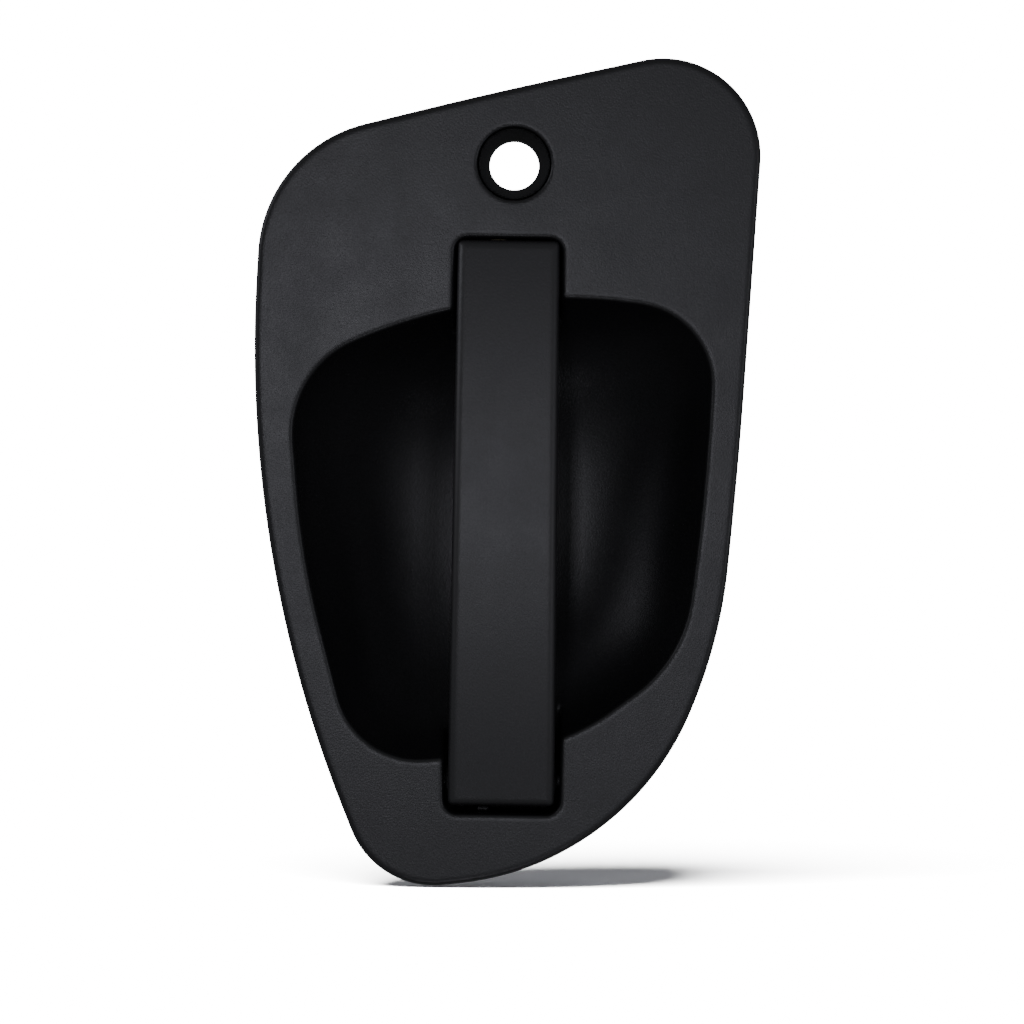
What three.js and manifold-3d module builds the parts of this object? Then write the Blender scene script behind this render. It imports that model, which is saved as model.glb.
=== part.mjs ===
// Flush pull door handle: a recessed housing with a hinged vertical grip, a bell crank behind it and the
// fixings. Millimetres. +X is to the right seen from outside the vehicle, +Y into the door, +Z is up.
// The parts are drawn about the grip's centre line; the group is then lifted so that the frame's origin
// is on the gasket's door-side face, at its lowest stretch, on the grip's centre line.
import * as THREE from 'three';
import { mergeVertices } from 'three/addons/utils/BufferGeometryUtils.js';
import Module from 'manifold-3d';

const wasm = await Module();
wasm.setup();

// -------------------------------------------------------------------------------------------------
// Driving dimensions
// -------------------------------------------------------------------------------------------------

const FIT_GAP = 0.3; // clearance between touching pieces
const ARC_SAGITTA = 0.2; // largest distance from an arc to its chords
const SEAT_DROP = 112.7; // from the drawing's zero height down to the gasket's lowest stretch

// Corners of the flange's outline as [x, z, radius], clockwise from the upper left.
const FLANGE_CORNERS = [
  [-72, 93.4, 41],
  [-6.6, 110.5, 1400],
  [75.2, 129.3, 28.6],
  [68, 3.8, 1400],
  [63.5, -47, 144],
  [37.5, -113.7, 82],
  [-36, -122.8, 26],
  [-65.4, -52, 362],
  [-74.6, 26.5, 359],
];
const FLANGE_FRONT = -6.5;
const FLANGE_THICKNESS = 3;
const FLANGE_BACK = FLANGE_FRONT + FLANGE_THICKNESS;
const SKIRT_BACK = -0.6;
const SKIRT_WALL = 2.2;
const GASKET_INSET = SKIRT_WALL + 0.4;
const GASKET_WIDTH = 4;

// Corners of the hand bowl's mouth, as [x, z, radius].
const BOWL_CORNERS = [
  [-63.7, 28.9, 29.1],
  [-4.1, 55.2, 152.2],
  [60.4, 46.4, 23.6],
  [58, -7.4, 682.5],
  [52.1, -53.5, 40],
  [18.5, -78.4, 63.8],
  [-42.2, -86.1, 24.3],
  [-58.6, -25.9, 247.5],
];
const BOWL_CENTRE = [0, -14];
const BOWL_DEPTH = 38.5;
const BOWL_FLATNESS = 2.5; // larger keeps the middle of the bowl flatter
const BOWL_STEEPNESS = 0.625; // smaller makes the wall under the lip steeper
const BOWL_RINGS = [1, 0.98, 0.93, 0.85, 0.73, 0.55, 0.32];
const SHELL_WALL = 2.2;

const TOP_WELL = { left: -15.5, right: 15.5, bottom: 36, top: 68.3, floor: 10, radius: 3.8 };
const BOTTOM_WELL = { left: -16.6, right: 17, bottom: -99.3, top: -66, floor: 12, radius: 4 };

const LOCK_COLLAR = {
  x: 1.25,
  z: 90,
  bore: 7.2,
  mouth: 10.1,
  coneEnd: 3,
  neckRadius: 10.4,
  seatRadius: 13,
  front: -6.3,
  back: 10,
};

const GRIP_TOP = 67.7;
const GRIP_BOTTOM = -96.9;
const GRIP_MIDDLE = (GRIP_TOP + GRIP_BOTTOM) / 2;
const GRIP_HALF_WIDTH = 15.2;
const GRIP_TAPER = 0.0043; // half-width gained for each millimetre down
const GRIP_EDGE = 2.4;
const GRIP_END_FRONT = -7.5;
const GRIP_BOW = 8;
const GRIP_THICKNESS = 13.5;
const GRIP_COVER_DEPTH = 8;
const GRIP_WALL = 2.8;
const GRIP_TOP_BACK = 8;
const GRIP_HINGE_BACK = 9.8;
const GRIP_BLEND = 16; // height over which each end block runs out into the bar
const GRIP_SCREW_HEIGHTS = [24, -48];
const GRIP_SCREW = {
  shank: 1.5,
  head: 3.5,
  headHeight: 1.9,
  socket: 1.5,
  socketFloor: 0.9,
  hole: 2.3,
  seat: 3.9,
  seatDepth: 2.6,
  post: 4,
  pilot: 1.8,
};
const CORE_BLOCKS = { upper: [46, 70], lower: [-100, -74], gap: 0.4 }; // heights of the core's solid ends

const HINGE = { y: 4, z: -90, pinRadius: 2.5, bore: 2.8 };
const PIN_HEAD = { radius: 4.5, thickness: 1.8 };
const PIN_GROOVE = { before: 0.1, after: 1.1, end: 2.4, depthShare: 0.72 };
const PIN_CLIP = { bore: 2.1, radius: 4.6, from: 0.1, to: 0.9 };
const BUSH = {
  radius: 4.1,
  setBack: 1.6,
  flange: 5.2,
  flangeThickness: 1.2,
  bossRadius: 6.6,
  bossReach: 24,
};
const SPRING_POCKET = { half: 8, front: -4.2, back: 14, top: -78 };
const GRIP_SPRING = { radius: 4.6, wire: 1.2, start: -5.2, pitch: 1.7, turns: 6 };
// The stop for the return spring's lower leg.
const SPRING_ABUTMENT = { left: -7.4, right: -3.4, top: -95.8, reach: 3.7 };

const CRANK = {
  y: 34,
  z: 36,
  pinRadius: 3,
  bore: 3.3,
  pinHole: 2.5,
  inputReach: 26,
  outputReach: 20,
  lean: 23.3,
  tip: 4.6,
  plateHub: 7,
  elbow: 6.2,
  hub: 5.4,
  hubHalf: 7.5,
};
const CRANK_PLATE = [1, 4]; // from and to, along x
const DRIVE = { pin: 2.2, head: 4.2, headFrom: -6.8, headTo: -5.5, sleeve: 3.2, sleeveFrom: -5.2 };
const DRIVE_RIVET = { radius: 3.6, tip: 2.6, from: 0.2, to: 1.6, shankEnd: 1 };
const CROSS_PIN = { radius: 2, hollow: 1.1, from: -13, to: 8, hole: 2.3, holeTo: 8.3 };
const PULL_ARM = { from: -4.5, to: -1.5, height: 8, root: -3.6 };
const FORK_SLOT = 3.6; // half-width
const FORK_DEPTH = 9;
// Clearances where the arm passes the well's floor.
const ARM_SLOT = { side: 0.7, below: 0.8, above: 3.4 };
const BRACKET = { front: 20.6, thickness: 2, earInner: 8, screwX: 19.5, screwZ: 44, hole: 2.3 };
const BRACKET_BOSS = { radius: 4.6, front: 2, hole: 1.9, holeFront: 10.6 };

const STUD_PLACES = {
  upper_left: [-45, 72],
  upper_right: [54, 98],
  lower_left: [-27, -105.5],
  lower_right: [34, -80],
};
const STUD_RADIUS = 3;
const STUD_HEAD = 4; // corner radius of the hexagon moulded into the housing
const STUD_POCKET = { grow: 0.4, front: -5.2, back: -2.1 };
const STUD_BOSS = 5.8;
const STUD_BOSS_BACK = -0.4;
const STUD_END = 18;
const WASHER = { front: 2.2, thickness: 1.5, radius: 7 };
const NUT_HEIGHT = 5;
const NUT_RADIUS = 5.77;
const BUMPER_X = 10;
const BUMPER_Z = 57;
const BUMPER = { pad: 3.8, stem: 1.9, barb: 2.9, barbTip: 1.4, barbReach: 2.6, hole: 2.3 };
const RIBS = { thickness: 2, left: -46, right: 52, top: 98, bottom: -101.8 };

// -------------------------------------------------------------------------------------------------
// Materials
// -------------------------------------------------------------------------------------------------

function finish(color, roughness, metalness) {
  return new THREE.MeshStandardMaterial({ color, roughness, metalness });
}

const FINISHES = {
  housing: finish(0x202023, 0.55, 0),
  grip: finish(0x242427, 0.5, 0),
  core: finish(0x1b1b1d, 0.6, 0),
  steel: finish(0xb9b7a6, 0.35, 1),
  yellowSteel: finish(0xb89a55, 0.4, 1),
  springSteel: finish(0x4a4b4d, 0.35, 1),
  acetal: finish(0xe4e1d6, 0.45, 0),
  rubber: finish(0x161616, 0.85, 0),
  foam: finish(0x1d1d1e, 0.95, 0),
};

// -------------------------------------------------------------------------------------------------
// Solid helpers
// -------------------------------------------------------------------------------------------------

// A closed solid that can be joined and cut, from a closed geometry.
function solid(geometry) {
  const bare = geometry.index ? geometry.toNonIndexed() : geometry.clone();
  bare.deleteAttribute('normal');
  bare.deleteAttribute('uv');
  const merged = mergeVertices(bare, 1e-4);
  return new wasm.Manifold(
    new wasm.Mesh({
      numProp: 3,
      vertProperties: new Float32Array(merged.attributes.position.array),
      triVerts: new Uint32Array(merged.index.array),
    }),
  );
}

// The geometry of a solid.
function geometryOf(body) {
  const mesh = body.getMesh();
  const geometry = new THREE.BufferGeometry();
  geometry.setAttribute('position', new THREE.BufferAttribute(new Float32Array(mesh.vertProperties), 3));
  geometry.setIndex(new THREE.BufferAttribute(new Uint32Array(mesh.triVerts), 1));
  geometry.computeVertexNormals();
  return geometry;
}

function joined(...bodies) {
  return bodies.reduce((whole, body) => whole.add(body));
}

function cut(body, ...tools) {
  return tools.reduce((rest, tool) => rest.subtract(tool), body);
}

function vectors(points) {
  return points.map(([u, v]) => new THREE.Vector2(u, v));
}

// Points round a circle arc, from one angle to another, in degrees.
function arcPoints(centre, radius, from, to) {
  const step = 2 * Math.acos(1 - Math.min(0.9, ARC_SAGITTA / radius));
  const sweep = THREE.MathUtils.degToRad(to - from);
  const count = Math.max(1, Math.ceil(Math.abs(sweep) / step));
  return Array.from({ length: count + 1 }, (_, i) => {
    const angle = THREE.MathUtils.degToRad(from) + (sweep * i) / count;
    return [centre[0] + radius * Math.cos(angle), centre[1] + radius * Math.sin(angle)];
  });
}

// A closed outline through rounded corners, each [u, v, radius].
function rounded(corners) {
  const total = corners.length;
  return corners.flatMap(([u, v, radius], i) => {
    const corner = new THREE.Vector2(u, v);
    const [before, after] = [corners[(i + total - 1) % total], corners[(i + 1) % total]].map(([a, b]) =>
      new THREE.Vector2(a, b).sub(corner).normalize(),
    );
    const half = Math.acos(THREE.MathUtils.clamp(before.dot(after), -1, 1)) / 2;
    const reach = radius / Math.tan(half);
    const middle = before.clone().add(after).normalize();
    const centre = middle.multiplyScalar(radius / Math.sin(half)).add(corner);
    const ends = [before, after].map((way) => way.clone().multiplyScalar(reach).add(corner));
    const from = ends[0].clone().sub(centre).angle();
    let sweep = ends[1].clone().sub(centre).angle() - from;
    sweep -= 2 * Math.PI * Math.round(sweep / (2 * Math.PI));
    const degrees = THREE.MathUtils.radToDeg;
    return arcPoints([centre.x, centre.y], radius, degrees(from), degrees(from + sweep));
  });
}

// Rounded corners moved inwards by a distance, or outwards if it is negative.
function inset(corners, distance) {
  const total = corners.length;
  const middle = corners.reduce((sum, [u, v]) => sum.add(new THREE.Vector2(u, v)), new THREE.Vector2());
  middle.divideScalar(total);
  const edges = corners.map(([u, v], i) => {
    const next = corners[(i + 1) % total];
    const way = new THREE.Vector2(next[0] - u, next[1] - v).normalize();
    const normal = new THREE.Vector2(-way.y, way.x);
    const side = Math.sign(middle.clone().sub(new THREE.Vector2(u, v)).dot(normal));
    return { point: new THREE.Vector2(u, v).addScaledVector(normal, side * distance), way };
  });
  return corners.map(([, , radius], i) => {
    const first = edges[(i + total - 1) % total];
    const second = edges[i];
    const along = second.point.clone().sub(first.point).cross(second.way) / first.way.cross(second.way);
    const corner = first.point.clone().addScaledVector(first.way, along);
    return [corner.x, corner.y, Math.max(radius - distance, 0.2)];
  });
}

// An outline in x and z, extruded along y.
function slab(outline, front, back) {
  const shape = new THREE.Shape(vectors(outline));
  const geometry = new THREE.ExtrudeGeometry(shape, { depth: back - front, bevelEnabled: false });
  geometry.rotateX(Math.PI / 2);
  geometry.translate(0, back, 0);
  return solid(geometry);
}

// An outline in y and z, extruded along x, with an optional round bevel at both ends.
function profile(outline, from, to, bevel = 0) {
  const shape = new THREE.Shape(vectors(outline));
  const geometry = new THREE.ExtrudeGeometry(shape, {
    depth: to - from - 2 * bevel,
    bevelEnabled: bevel > 0,
    bevelThickness: bevel,
    bevelSize: bevel,
    bevelOffset: -bevel,
    bevelSegments: 2,
  });
  const [x, y, z] = [new THREE.Vector3(1, 0, 0), new THREE.Vector3(0, 1, 0), new THREE.Vector3(0, 0, 1)];
  geometry.applyMatrix4(new THREE.Matrix4().makeBasis(y, z, x));
  geometry.translate(from + bevel, 0, 0);
  return solid(geometry);
}

// A round bar or cone along x, its ends at two x values, about a line at [y, z].
function barX(radius, from, to, [y, z], sides = 20, endRadius = radius) {
  const geometry = new THREE.CylinderGeometry(endRadius, radius, to - from, sides);
  geometry.rotateZ(-Math.PI / 2);
  geometry.translate((from + to) / 2, y, z);
  return solid(geometry);
}

// A round bar or cone along y, its ends at two y values, about a line at [x, z].
function barY(radius, from, to, [x, z], sides = 20, endRadius = radius) {
  const geometry = new THREE.CylinderGeometry(endRadius, radius, to - from, sides);
  geometry.translate(x, (from + to) / 2, z);
  return solid(geometry);
}

// A block between two corners.
function block(low, high) {
  const size = high.map((value, i) => value - low[i]);
  const geometry = new THREE.BoxGeometry(...size);
  geometry.translate(...low.map((value, i) => value + size[i] / 2));
  return solid(geometry);
}

// An open spring clip for a groove, lying across x, with its gap facing up.
function retainingClip(from, to, [y, z], inner, outer) {
  const outline = [...arcPoints([y, z], outer, 118, 422), ...arcPoints([y, z], inner, 405, 135)];
  return profile(outline, from, to);
}

// A torsion spring about a line along x: a leg, a helix and another leg, swept with a round wire.
function torsionSpring(spring) {
  const { radius, wire, from, pitch, turns, startAngle, direction, firstLeg, lastLeg } = spring;
  const [y, z] = spring.axis;
  const stepsPerTurn = 11;
  const count = Math.round(turns * stepsPerTurn);
  const points = firstLeg.map((point) => new THREE.Vector3(...point));
  for (let i = 0; i <= count; i += 1) {
    const angle = THREE.MathUtils.degToRad(startAngle) + (direction * 2 * Math.PI * i) / stepsPerTurn;
    const x = from + (pitch * i) / stepsPerTurn;
    points.push(new THREE.Vector3(x, y + radius * Math.cos(angle), z + radius * Math.sin(angle)));
  }
  points.push(...lastLeg.map((point) => new THREE.Vector3(...point)));
  const path = new THREE.CatmullRomCurve3(points, false, 'centripetal');
  const sides = 6;
  const section = arcCircle(wire / 2, sides);
  const geometry = new THREE.ExtrudeGeometry(new THREE.Shape(vectors(section)), {
    steps: count + 6,
    extrudePath: path,
    bevelEnabled: false,
  });
  return solid(geometry);
}

// Corners of a regular polygon about the middle.
function arcCircle(radius, sides, turn = 0) {
  return Array.from({ length: sides }, (_, i) => {
    const angle = turn + (2 * Math.PI * i) / sides;
    return [radius * Math.cos(angle), radius * Math.sin(angle)];
  });
}

function moved(outline, [u, v]) {
  return outline.map(([a, b]) => [a + u, b + v]);
}

// -------------------------------------------------------------------------------------------------
// Housing
// -------------------------------------------------------------------------------------------------

// Depth of the bowl where an outline is shrunk to this share of the mouth.
function bowlDepth(share) {
  return BOWL_DEPTH * (1 - share ** BOWL_FLATNESS) ** BOWL_STEEPNESS;
}

// The bowl's form, grown by a wall: the mouth's outline shrinks towards the centre with depth.
function bowlForm(grow, front) {
  const mouth = rounded(inset(BOWL_CORNERS, -grow));
  const [centreX, centreZ] = BOWL_CENTRE;
  const deeper = BOWL_RINGS.map((share) => ({ share, y: FLANGE_FRONT + grow + bowlDepth(share) }));
  const rings = [{ share: 1, y: front }, ...deeper.filter(({ y }) => y > front)];
  const count = mouth.length;
  const points = rings.flatMap(({ share, y }) =>
    mouth.map(([x, z]) => [centreX + (x - centreX) * share, y, centreZ + (z - centreZ) * share]),
  );
  const frontMiddle = points.length;
  points.push([centreX, front, centreZ], [centreX, FLANGE_FRONT + grow + BOWL_DEPTH, centreZ]);
  const faces = [];
  for (let i = 0; i < count; i += 1) {
    const next = (i + 1) % count;
    faces.push(frontMiddle, next, i);
    for (let ring = 0; ring + 1 < rings.length; ring += 1) {
      const [near, far] = [ring * count, (ring + 1) * count];
      faces.push(near + i, near + next, far + i, near + next, far + next, far + i);
    }
    const last = (rings.length - 1) * count;
    faces.push(last + i, last + next, frontMiddle + 1);
  }
  const geometry = new THREE.BufferGeometry();
  geometry.setAttribute('position', new THREE.Float32BufferAttribute(points.flat(), 3));
  geometry.setIndex(faces);
  return solid(geometry);
}

// A well's outline, grown by a wall.
function wellOutline(well, grow) {
  const { left, right, bottom, top, radius } = well;
  const upper = bottom > 0;
  const [roundEnd, openEnd] = upper ? [top + grow, bottom] : [bottom - grow, top];
  return rounded([
    [left - grow, openEnd, 0.5],
    [left - grow, roundEnd, radius + grow],
    [right + grow, roundEnd, radius + grow],
    [right + grow, openEnd, 0.5],
  ]);
}

function studPocket([x, z]) {
  const { grow, front, back } = STUD_POCKET;
  const shank = barY(STUD_RADIUS + FIT_GAP, FLANGE_BACK - 1, 1, [x, z], 12);
  const head = slab(moved(arcCircle(STUD_HEAD + grow, 6), [x, z]), front, back);
  return shank.add(head);
}

function stiffeningRibs() {
  const { thickness, left, right, top, bottom } = RIBS;
  const [front, back] = [FLANGE_BACK - 0.5, 1];
  const wall = SHELL_WALL;
  const sides = [TOP_WELL.left - wall, TOP_WELL.right].map((x) =>
    block([x, front, TOP_WELL.top], [x + thickness, back, top]),
  );
  const lower = [BOTTOM_WELL.left - wall, BOTTOM_WELL.right].map((x) =>
    block([x, front, bottom], [x + thickness, back, BOTTOM_WELL.bottom]),
  );
  const across = block([left, front, LOCK_COLLAR.z - 1], [right, back, LOCK_COLLAR.z + 1]);
  return joined(across, ...sides, ...lower);
}

// The space open to the front: the bowl and the wells that take the grip's ends.
function frontCavities() {
  const front = FLANGE_FRONT - 2;
  const wells = [TOP_WELL, BOTTOM_WELL].map((well) => slab(wellOutline(well, 0), front, well.floor));
  return [bowlForm(0, front), ...wells];
}

// The bowl's and the wells' outer forms behind the flange, grown by a gap.
function shellForms(gap) {
  const wall = SHELL_WALL + gap;
  const front = FLANGE_BACK + FIT_GAP - gap;
  const wells = [TOP_WELL, BOTTOM_WELL].map((well) =>
    slab(wellOutline(well, wall), front, well.floor + wall),
  );
  return [bowlForm(wall, front), ...wells];
}

function makeFlangePlate() {
  const flange = cut(
    slab(rounded(FLANGE_CORNERS), FLANGE_FRONT, SKIRT_BACK),
    slab(rounded(inset(FLANGE_CORNERS, SKIRT_WALL)), FLANGE_BACK, SKIRT_BACK + 1),
  );
  const studs = Object.values(STUD_PLACES);
  const studBosses = studs.map((place) => barY(STUD_BOSS, FLANGE_BACK - 0.5, STUD_BOSS_BACK, place));
  const body = joined(flange, ...studBosses, stiffeningRibs());
  const studPockets = studs.map(studPocket);
  const neighbours = [...shellForms(FIT_GAP), ...lockCollarForm(FIT_GAP)];
  return cut(body, ...frontCavities(), ...neighbours, ...studPockets);
}

function makeHandBowl() {
  const hingeLine = [HINGE.y, HINGE.z];
  const hingeBosses = [
    barX(BUSH.bossRadius, -BUSH.bossReach, BOTTOM_WELL.left - 1, hingeLine),
    barX(BUSH.bossRadius, BOTTOM_WELL.right + 1, BUSH.bossReach, hingeLine),
  ];
  const bracketPlaces = [-BRACKET.screwX, BRACKET.screwX].map((x) => [x, BRACKET.screwZ]);
  const bracketBosses = bracketPlaces.map((place) =>
    barY(BRACKET_BOSS.radius, BRACKET_BOSS.front, BRACKET.front - FIT_GAP, place, 16),
  );
  const body = joined(...shellForms(0), ...hingeBosses, ...bracketBosses);
  const throughFloor = [TOP_WELL.floor - 1, TOP_WELL.floor + SHELL_WALL + 1];
  const armSlot = block(
    [PULL_ARM.from - ARM_SLOT.side, throughFloor[0], armHeights()[0] - ARM_SLOT.below],
    [PULL_ARM.to + ARM_SLOT.side, throughFloor[1], armHeights()[1] + ARM_SLOT.above],
  );
  const bumperPlaces = [-BUMPER_X, BUMPER_X].map((x) => [x, BUMPER_Z]);
  const bumperHoles = bumperPlaces.map((place) => barY(BUMPER.hole, ...throughFloor, place, 12));
  const bushBore = barX(BUSH.radius + FIT_GAP, -BUSH.bossReach - 1, BUSH.bossReach + 1, hingeLine);
  const screwHoles = bracketPlaces.map((place) =>
    barY(BRACKET_BOSS.hole, BRACKET_BOSS.holeFront, BRACKET.front + 1, place, 12),
  );
  const bowl = cut(body, ...frontCavities(), armSlot, ...bumperHoles, bushBore, ...screwHoles);
  const { left, right, top, reach } = SPRING_ABUTMENT;
  const low = [left, HINGE.y - reach, BOTTOM_WELL.bottom - 1];
  return bowl.add(block(low, [right, BOTTOM_WELL.floor + 1, top]));
}

// The lock collar's outer form, grown by a gap: a neck through the flange and a wider seat behind it.
function lockCollarForm(gap) {
  const { x, z, neckRadius, seatRadius, front, back } = LOCK_COLLAR;
  const neck = barY(neckRadius + gap, front - gap * 3, FLANGE_BACK + 1, [x, z], 32);
  const seat = barY(seatRadius + gap, FLANGE_BACK + FIT_GAP - gap, back + gap, [x, z], 32);
  return [neck, seat];
}

function makeLockCollar() {
  const { x, z, front, back, bore, mouth, coneEnd } = LOCK_COLLAR;
  const cylinderBore = barY(bore, front - 1, back + 1, [x, z], 32);
  const cone = barY(mouth, front - 0.01, coneEnd, [x, z], 32, bore);
  return cut(joined(...lockCollarForm(0)), cylinderBore, cone);
}

function makeGasket() {
  const outer = rounded(inset(FLANGE_CORNERS, GASKET_INSET));
  const inner = rounded(inset(FLANGE_CORNERS, GASKET_INSET + GASKET_WIDTH));
  const front = FLANGE_BACK + FIT_GAP;
  return cut(slab(outer, front, 0), slab(inner, front - 1, 1));
}

// -------------------------------------------------------------------------------------------------
// Grip
// -------------------------------------------------------------------------------------------------

const GRIP_HALF_LENGTH = (GRIP_TOP - GRIP_BOTTOM) / 2;
const GRIP_BOW_RADIUS = (GRIP_HALF_LENGTH ** 2 + GRIP_BOW ** 2) / (2 * GRIP_BOW);

// The bowed front face's y at a height.
function gripFront(z) {
  const rise = GRIP_BOW_RADIUS - Math.sqrt(GRIP_BOW_RADIUS ** 2 - (z - GRIP_MIDDLE) ** 2);
  return GRIP_END_FRONT - GRIP_BOW + rise;
}

// The back face's y at a height: parallel to the front, and running out into a deeper block at each end.
function gripBack(z) {
  const bar = gripFront(z) + GRIP_THICKNESS;
  const up = THREE.MathUtils.smoothstep(z, TOP_WELL.bottom, TOP_WELL.bottom + GRIP_BLEND);
  const lower = -BOTTOM_WELL.top;
  const down = THREE.MathUtils.smoothstep(-z, lower - GRIP_BLEND / 2, lower + GRIP_BLEND / 2);
  return bar + (GRIP_TOP_BACK - bar) * up + (GRIP_HINGE_BACK - bar) * down;
}

function heights(from, to, count) {
  return Array.from({ length: count + 1 }, (_, i) => from + ((to - from) * i) / count);
}

// The grip's side outline, shrunk all round by a wall.
function gripOutline(wall) {
  const cornerCut = 1.6;
  const [low, high] = [GRIP_BOTTOM + wall, GRIP_TOP - wall];
  const front = heights(low + cornerCut, high - cornerCut, 12).map((z) => [gripFront(z) + wall, z]);
  const back = [
    ...heights(high - cornerCut, TOP_WELL.bottom + GRIP_BLEND, 1),
    ...heights(TOP_WELL.bottom + GRIP_BLEND * 0.75, TOP_WELL.bottom, 3),
    ...heights(TOP_WELL.bottom - 12, BOTTOM_WELL.top + GRIP_BLEND / 2 + 10, 5),
    ...heights(BOTTOM_WELL.top + GRIP_BLEND / 2, BOTTOM_WELL.top - GRIP_BLEND / 2, 4),
    low + cornerCut,
  ].map((z) => [gripBack(z) - wall, z]);
  return [
    ...front,
    [gripFront(high) + wall + cornerCut, high],
    [gripBack(high) - wall - cornerCut, high],
    ...back,
    [gripBack(low) - wall - cornerCut, low],
    [gripFront(low) + wall + cornerCut, low],
  ];
}

// The part of space behind the grip's parting line, moved back by a distance.
function behindParting(shift) {
  const [low, high] = [GRIP_BOTTOM - 5, GRIP_TOP + 5];
  const line = heights(low, high, 14).map((z) => [gripFront(z) + GRIP_COVER_DEPTH + shift, z]);
  return profile([...line, [40, high], [40, low]], -30, 30);
}

// Makes the grip a little wider towards its bottom end.
function tapered(body) {
  return body.warp((vertex) => {
    vertex[0] *= 1 + (GRIP_TAPER * (GRIP_MIDDLE - vertex[2])) / GRIP_HALF_WIDTH;
  });
}

function gripBody() {
  return tapered(profile(gripOutline(0), -GRIP_HALF_WIDTH, GRIP_HALF_WIDTH, GRIP_EDGE));
}

// The space round the return spring, between the hinge lugs.
function springPocket() {
  const { half, front, back, top } = SPRING_POCKET;
  return block([-half, front, GRIP_BOTTOM - 1], [half, back, top]);
}

// The inside of the cover's hollow, shrunk by a gap.
function coverHollow(gap) {
  const half = GRIP_HALF_WIDTH - GRIP_WALL - gap;
  return profile(gripOutline(GRIP_WALL + gap), -half, half);
}

function makeGripCover() {
  const { post, pilot } = GRIP_SCREW;
  const shell = cut(gripBody(), behindParting(0), coverHollow(0));
  const posts = GRIP_SCREW_HEIGHTS.map((z) =>
    barY(post, gripFront(z) + GRIP_WALL - 0.5, gripFront(z) + GRIP_COVER_DEPTH - 0.2, [0, z], 16),
  );
  const pilots = GRIP_SCREW_HEIGHTS.map((z) =>
    barY(pilot, gripFront(z) + GRIP_WALL, gripFront(z) + GRIP_COVER_DEPTH + 1, [0, z], 12),
  );
  return cut(joined(shell, ...posts), ...pilots, springPocket());
}

function makeGripCore() {
  const back = gripBody().intersect(behindParting(FIT_GAP));
  const { upper, lower, gap } = CORE_BLOCKS;
  const slices = [upper, lower].map(([from, to]) => block([-20, -30, from], [20, 30, to]));
  const endBlocks = coverHollow(gap).intersect(joined(...slices));
  const armPocket = block([PULL_ARM.from - FIT_GAP, PULL_ARM.root - FIT_GAP, armHeights()[0] - FIT_GAP], [
    PULL_ARM.to + FIT_GAP, 20, armHeights()[1] + FIT_GAP,
  ]);
  const screwHoles = GRIP_SCREW_HEIGHTS.map((z) =>
    joined(
      barY(GRIP_SCREW.hole, gripFront(z), 20, [0, z], 12),
      barY(GRIP_SCREW.seat, gripBack(z) - GRIP_SCREW.seatDepth, 20, [0, z], 16),
    ),
  );
  const pinBore = barX(HINGE.bore, -25, 25, [HINGE.y, HINGE.z]);
  const crossBore = barX(CROSS_PIN.hole, -25, CROSS_PIN.holeTo, [crossPinY(), armMiddle()], 12);
  return cut(joined(back, endBlocks), armPocket, ...screwHoles, pinBore, crossBore, springPocket());
}

function makeGripScrew(z) {
  const { head: headRadius, headHeight, socket: socketRadius, socketFloor } = GRIP_SCREW;
  const seat = gripBack(z) - GRIP_SCREW.seatDepth + FIT_GAP;
  const shank = barY(GRIP_SCREW.shank, gripFront(z) + GRIP_WALL + 0.6, seat + 0.5, [0, z], 12);
  const head = barY(headRadius, seat, seat + headHeight, [0, z], 16);
  const socket = slab(moved(arcCircle(socketRadius, 6), [0, z]), seat + socketFloor, seat + 3);
  return cut(joined(shank, head), socket);
}

// -------------------------------------------------------------------------------------------------
// Hinge
// -------------------------------------------------------------------------------------------------

const PIN_HEAD_SIDE = -(BUSH.bossReach + FIT_GAP + BUSH.flangeThickness + FIT_GAP);
const PIN_CLIP_SIDE = -PIN_HEAD_SIDE;

function groovedPin({ radius, headRadius, headFrom, headTo, end, grooveFrom, grooveTo, axis }) {
  const shank = barX(radius, headFrom, end, axis);
  const head = barX(headRadius, headFrom, headTo, axis);
  const groove = cut(
    barX(radius + 1, grooveFrom, grooveTo, axis),
    barX(radius * PIN_GROOVE.depthShare, grooveFrom, grooveTo, axis, 16),
  );
  return cut(joined(shank, head), groove);
}

function makeHingePin() {
  return groovedPin({
    radius: HINGE.pinRadius,
    headRadius: PIN_HEAD.radius,
    headFrom: PIN_HEAD_SIDE - PIN_HEAD.thickness,
    headTo: PIN_HEAD_SIDE,
    end: PIN_CLIP_SIDE + PIN_GROOVE.end,
    grooveFrom: PIN_CLIP_SIDE - PIN_GROOVE.before,
    grooveTo: PIN_CLIP_SIDE + PIN_GROOVE.after,
    axis: [HINGE.y, HINGE.z],
  });
}

function makeHingePinClip() {
  const { bore, radius, from, to } = PIN_CLIP;
  return retainingClip(PIN_CLIP_SIDE + from, PIN_CLIP_SIDE + to, [HINGE.y, HINGE.z], bore, radius);
}

function makeBush(side) {
  const wallSide = side < 0 ? BOTTOM_WELL.left : BOTTOM_WELL.right;
  const [inner, boss] = [Math.abs(wallSide) + BUSH.setBack, BUSH.bossReach + FIT_GAP];
  const place = (a, b) => (side < 0 ? [-b, -a] : [a, b]);
  const sleeve = barX(BUSH.radius, ...place(inner, boss + 0.5), [HINGE.y, HINGE.z]);
  const flange = barX(BUSH.flange, ...place(boss, boss + BUSH.flangeThickness), [HINGE.y, HINGE.z]);
  return cut(joined(sleeve, flange), barX(HINGE.bore, -40, 40, [HINGE.y, HINGE.z]));
}

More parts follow.
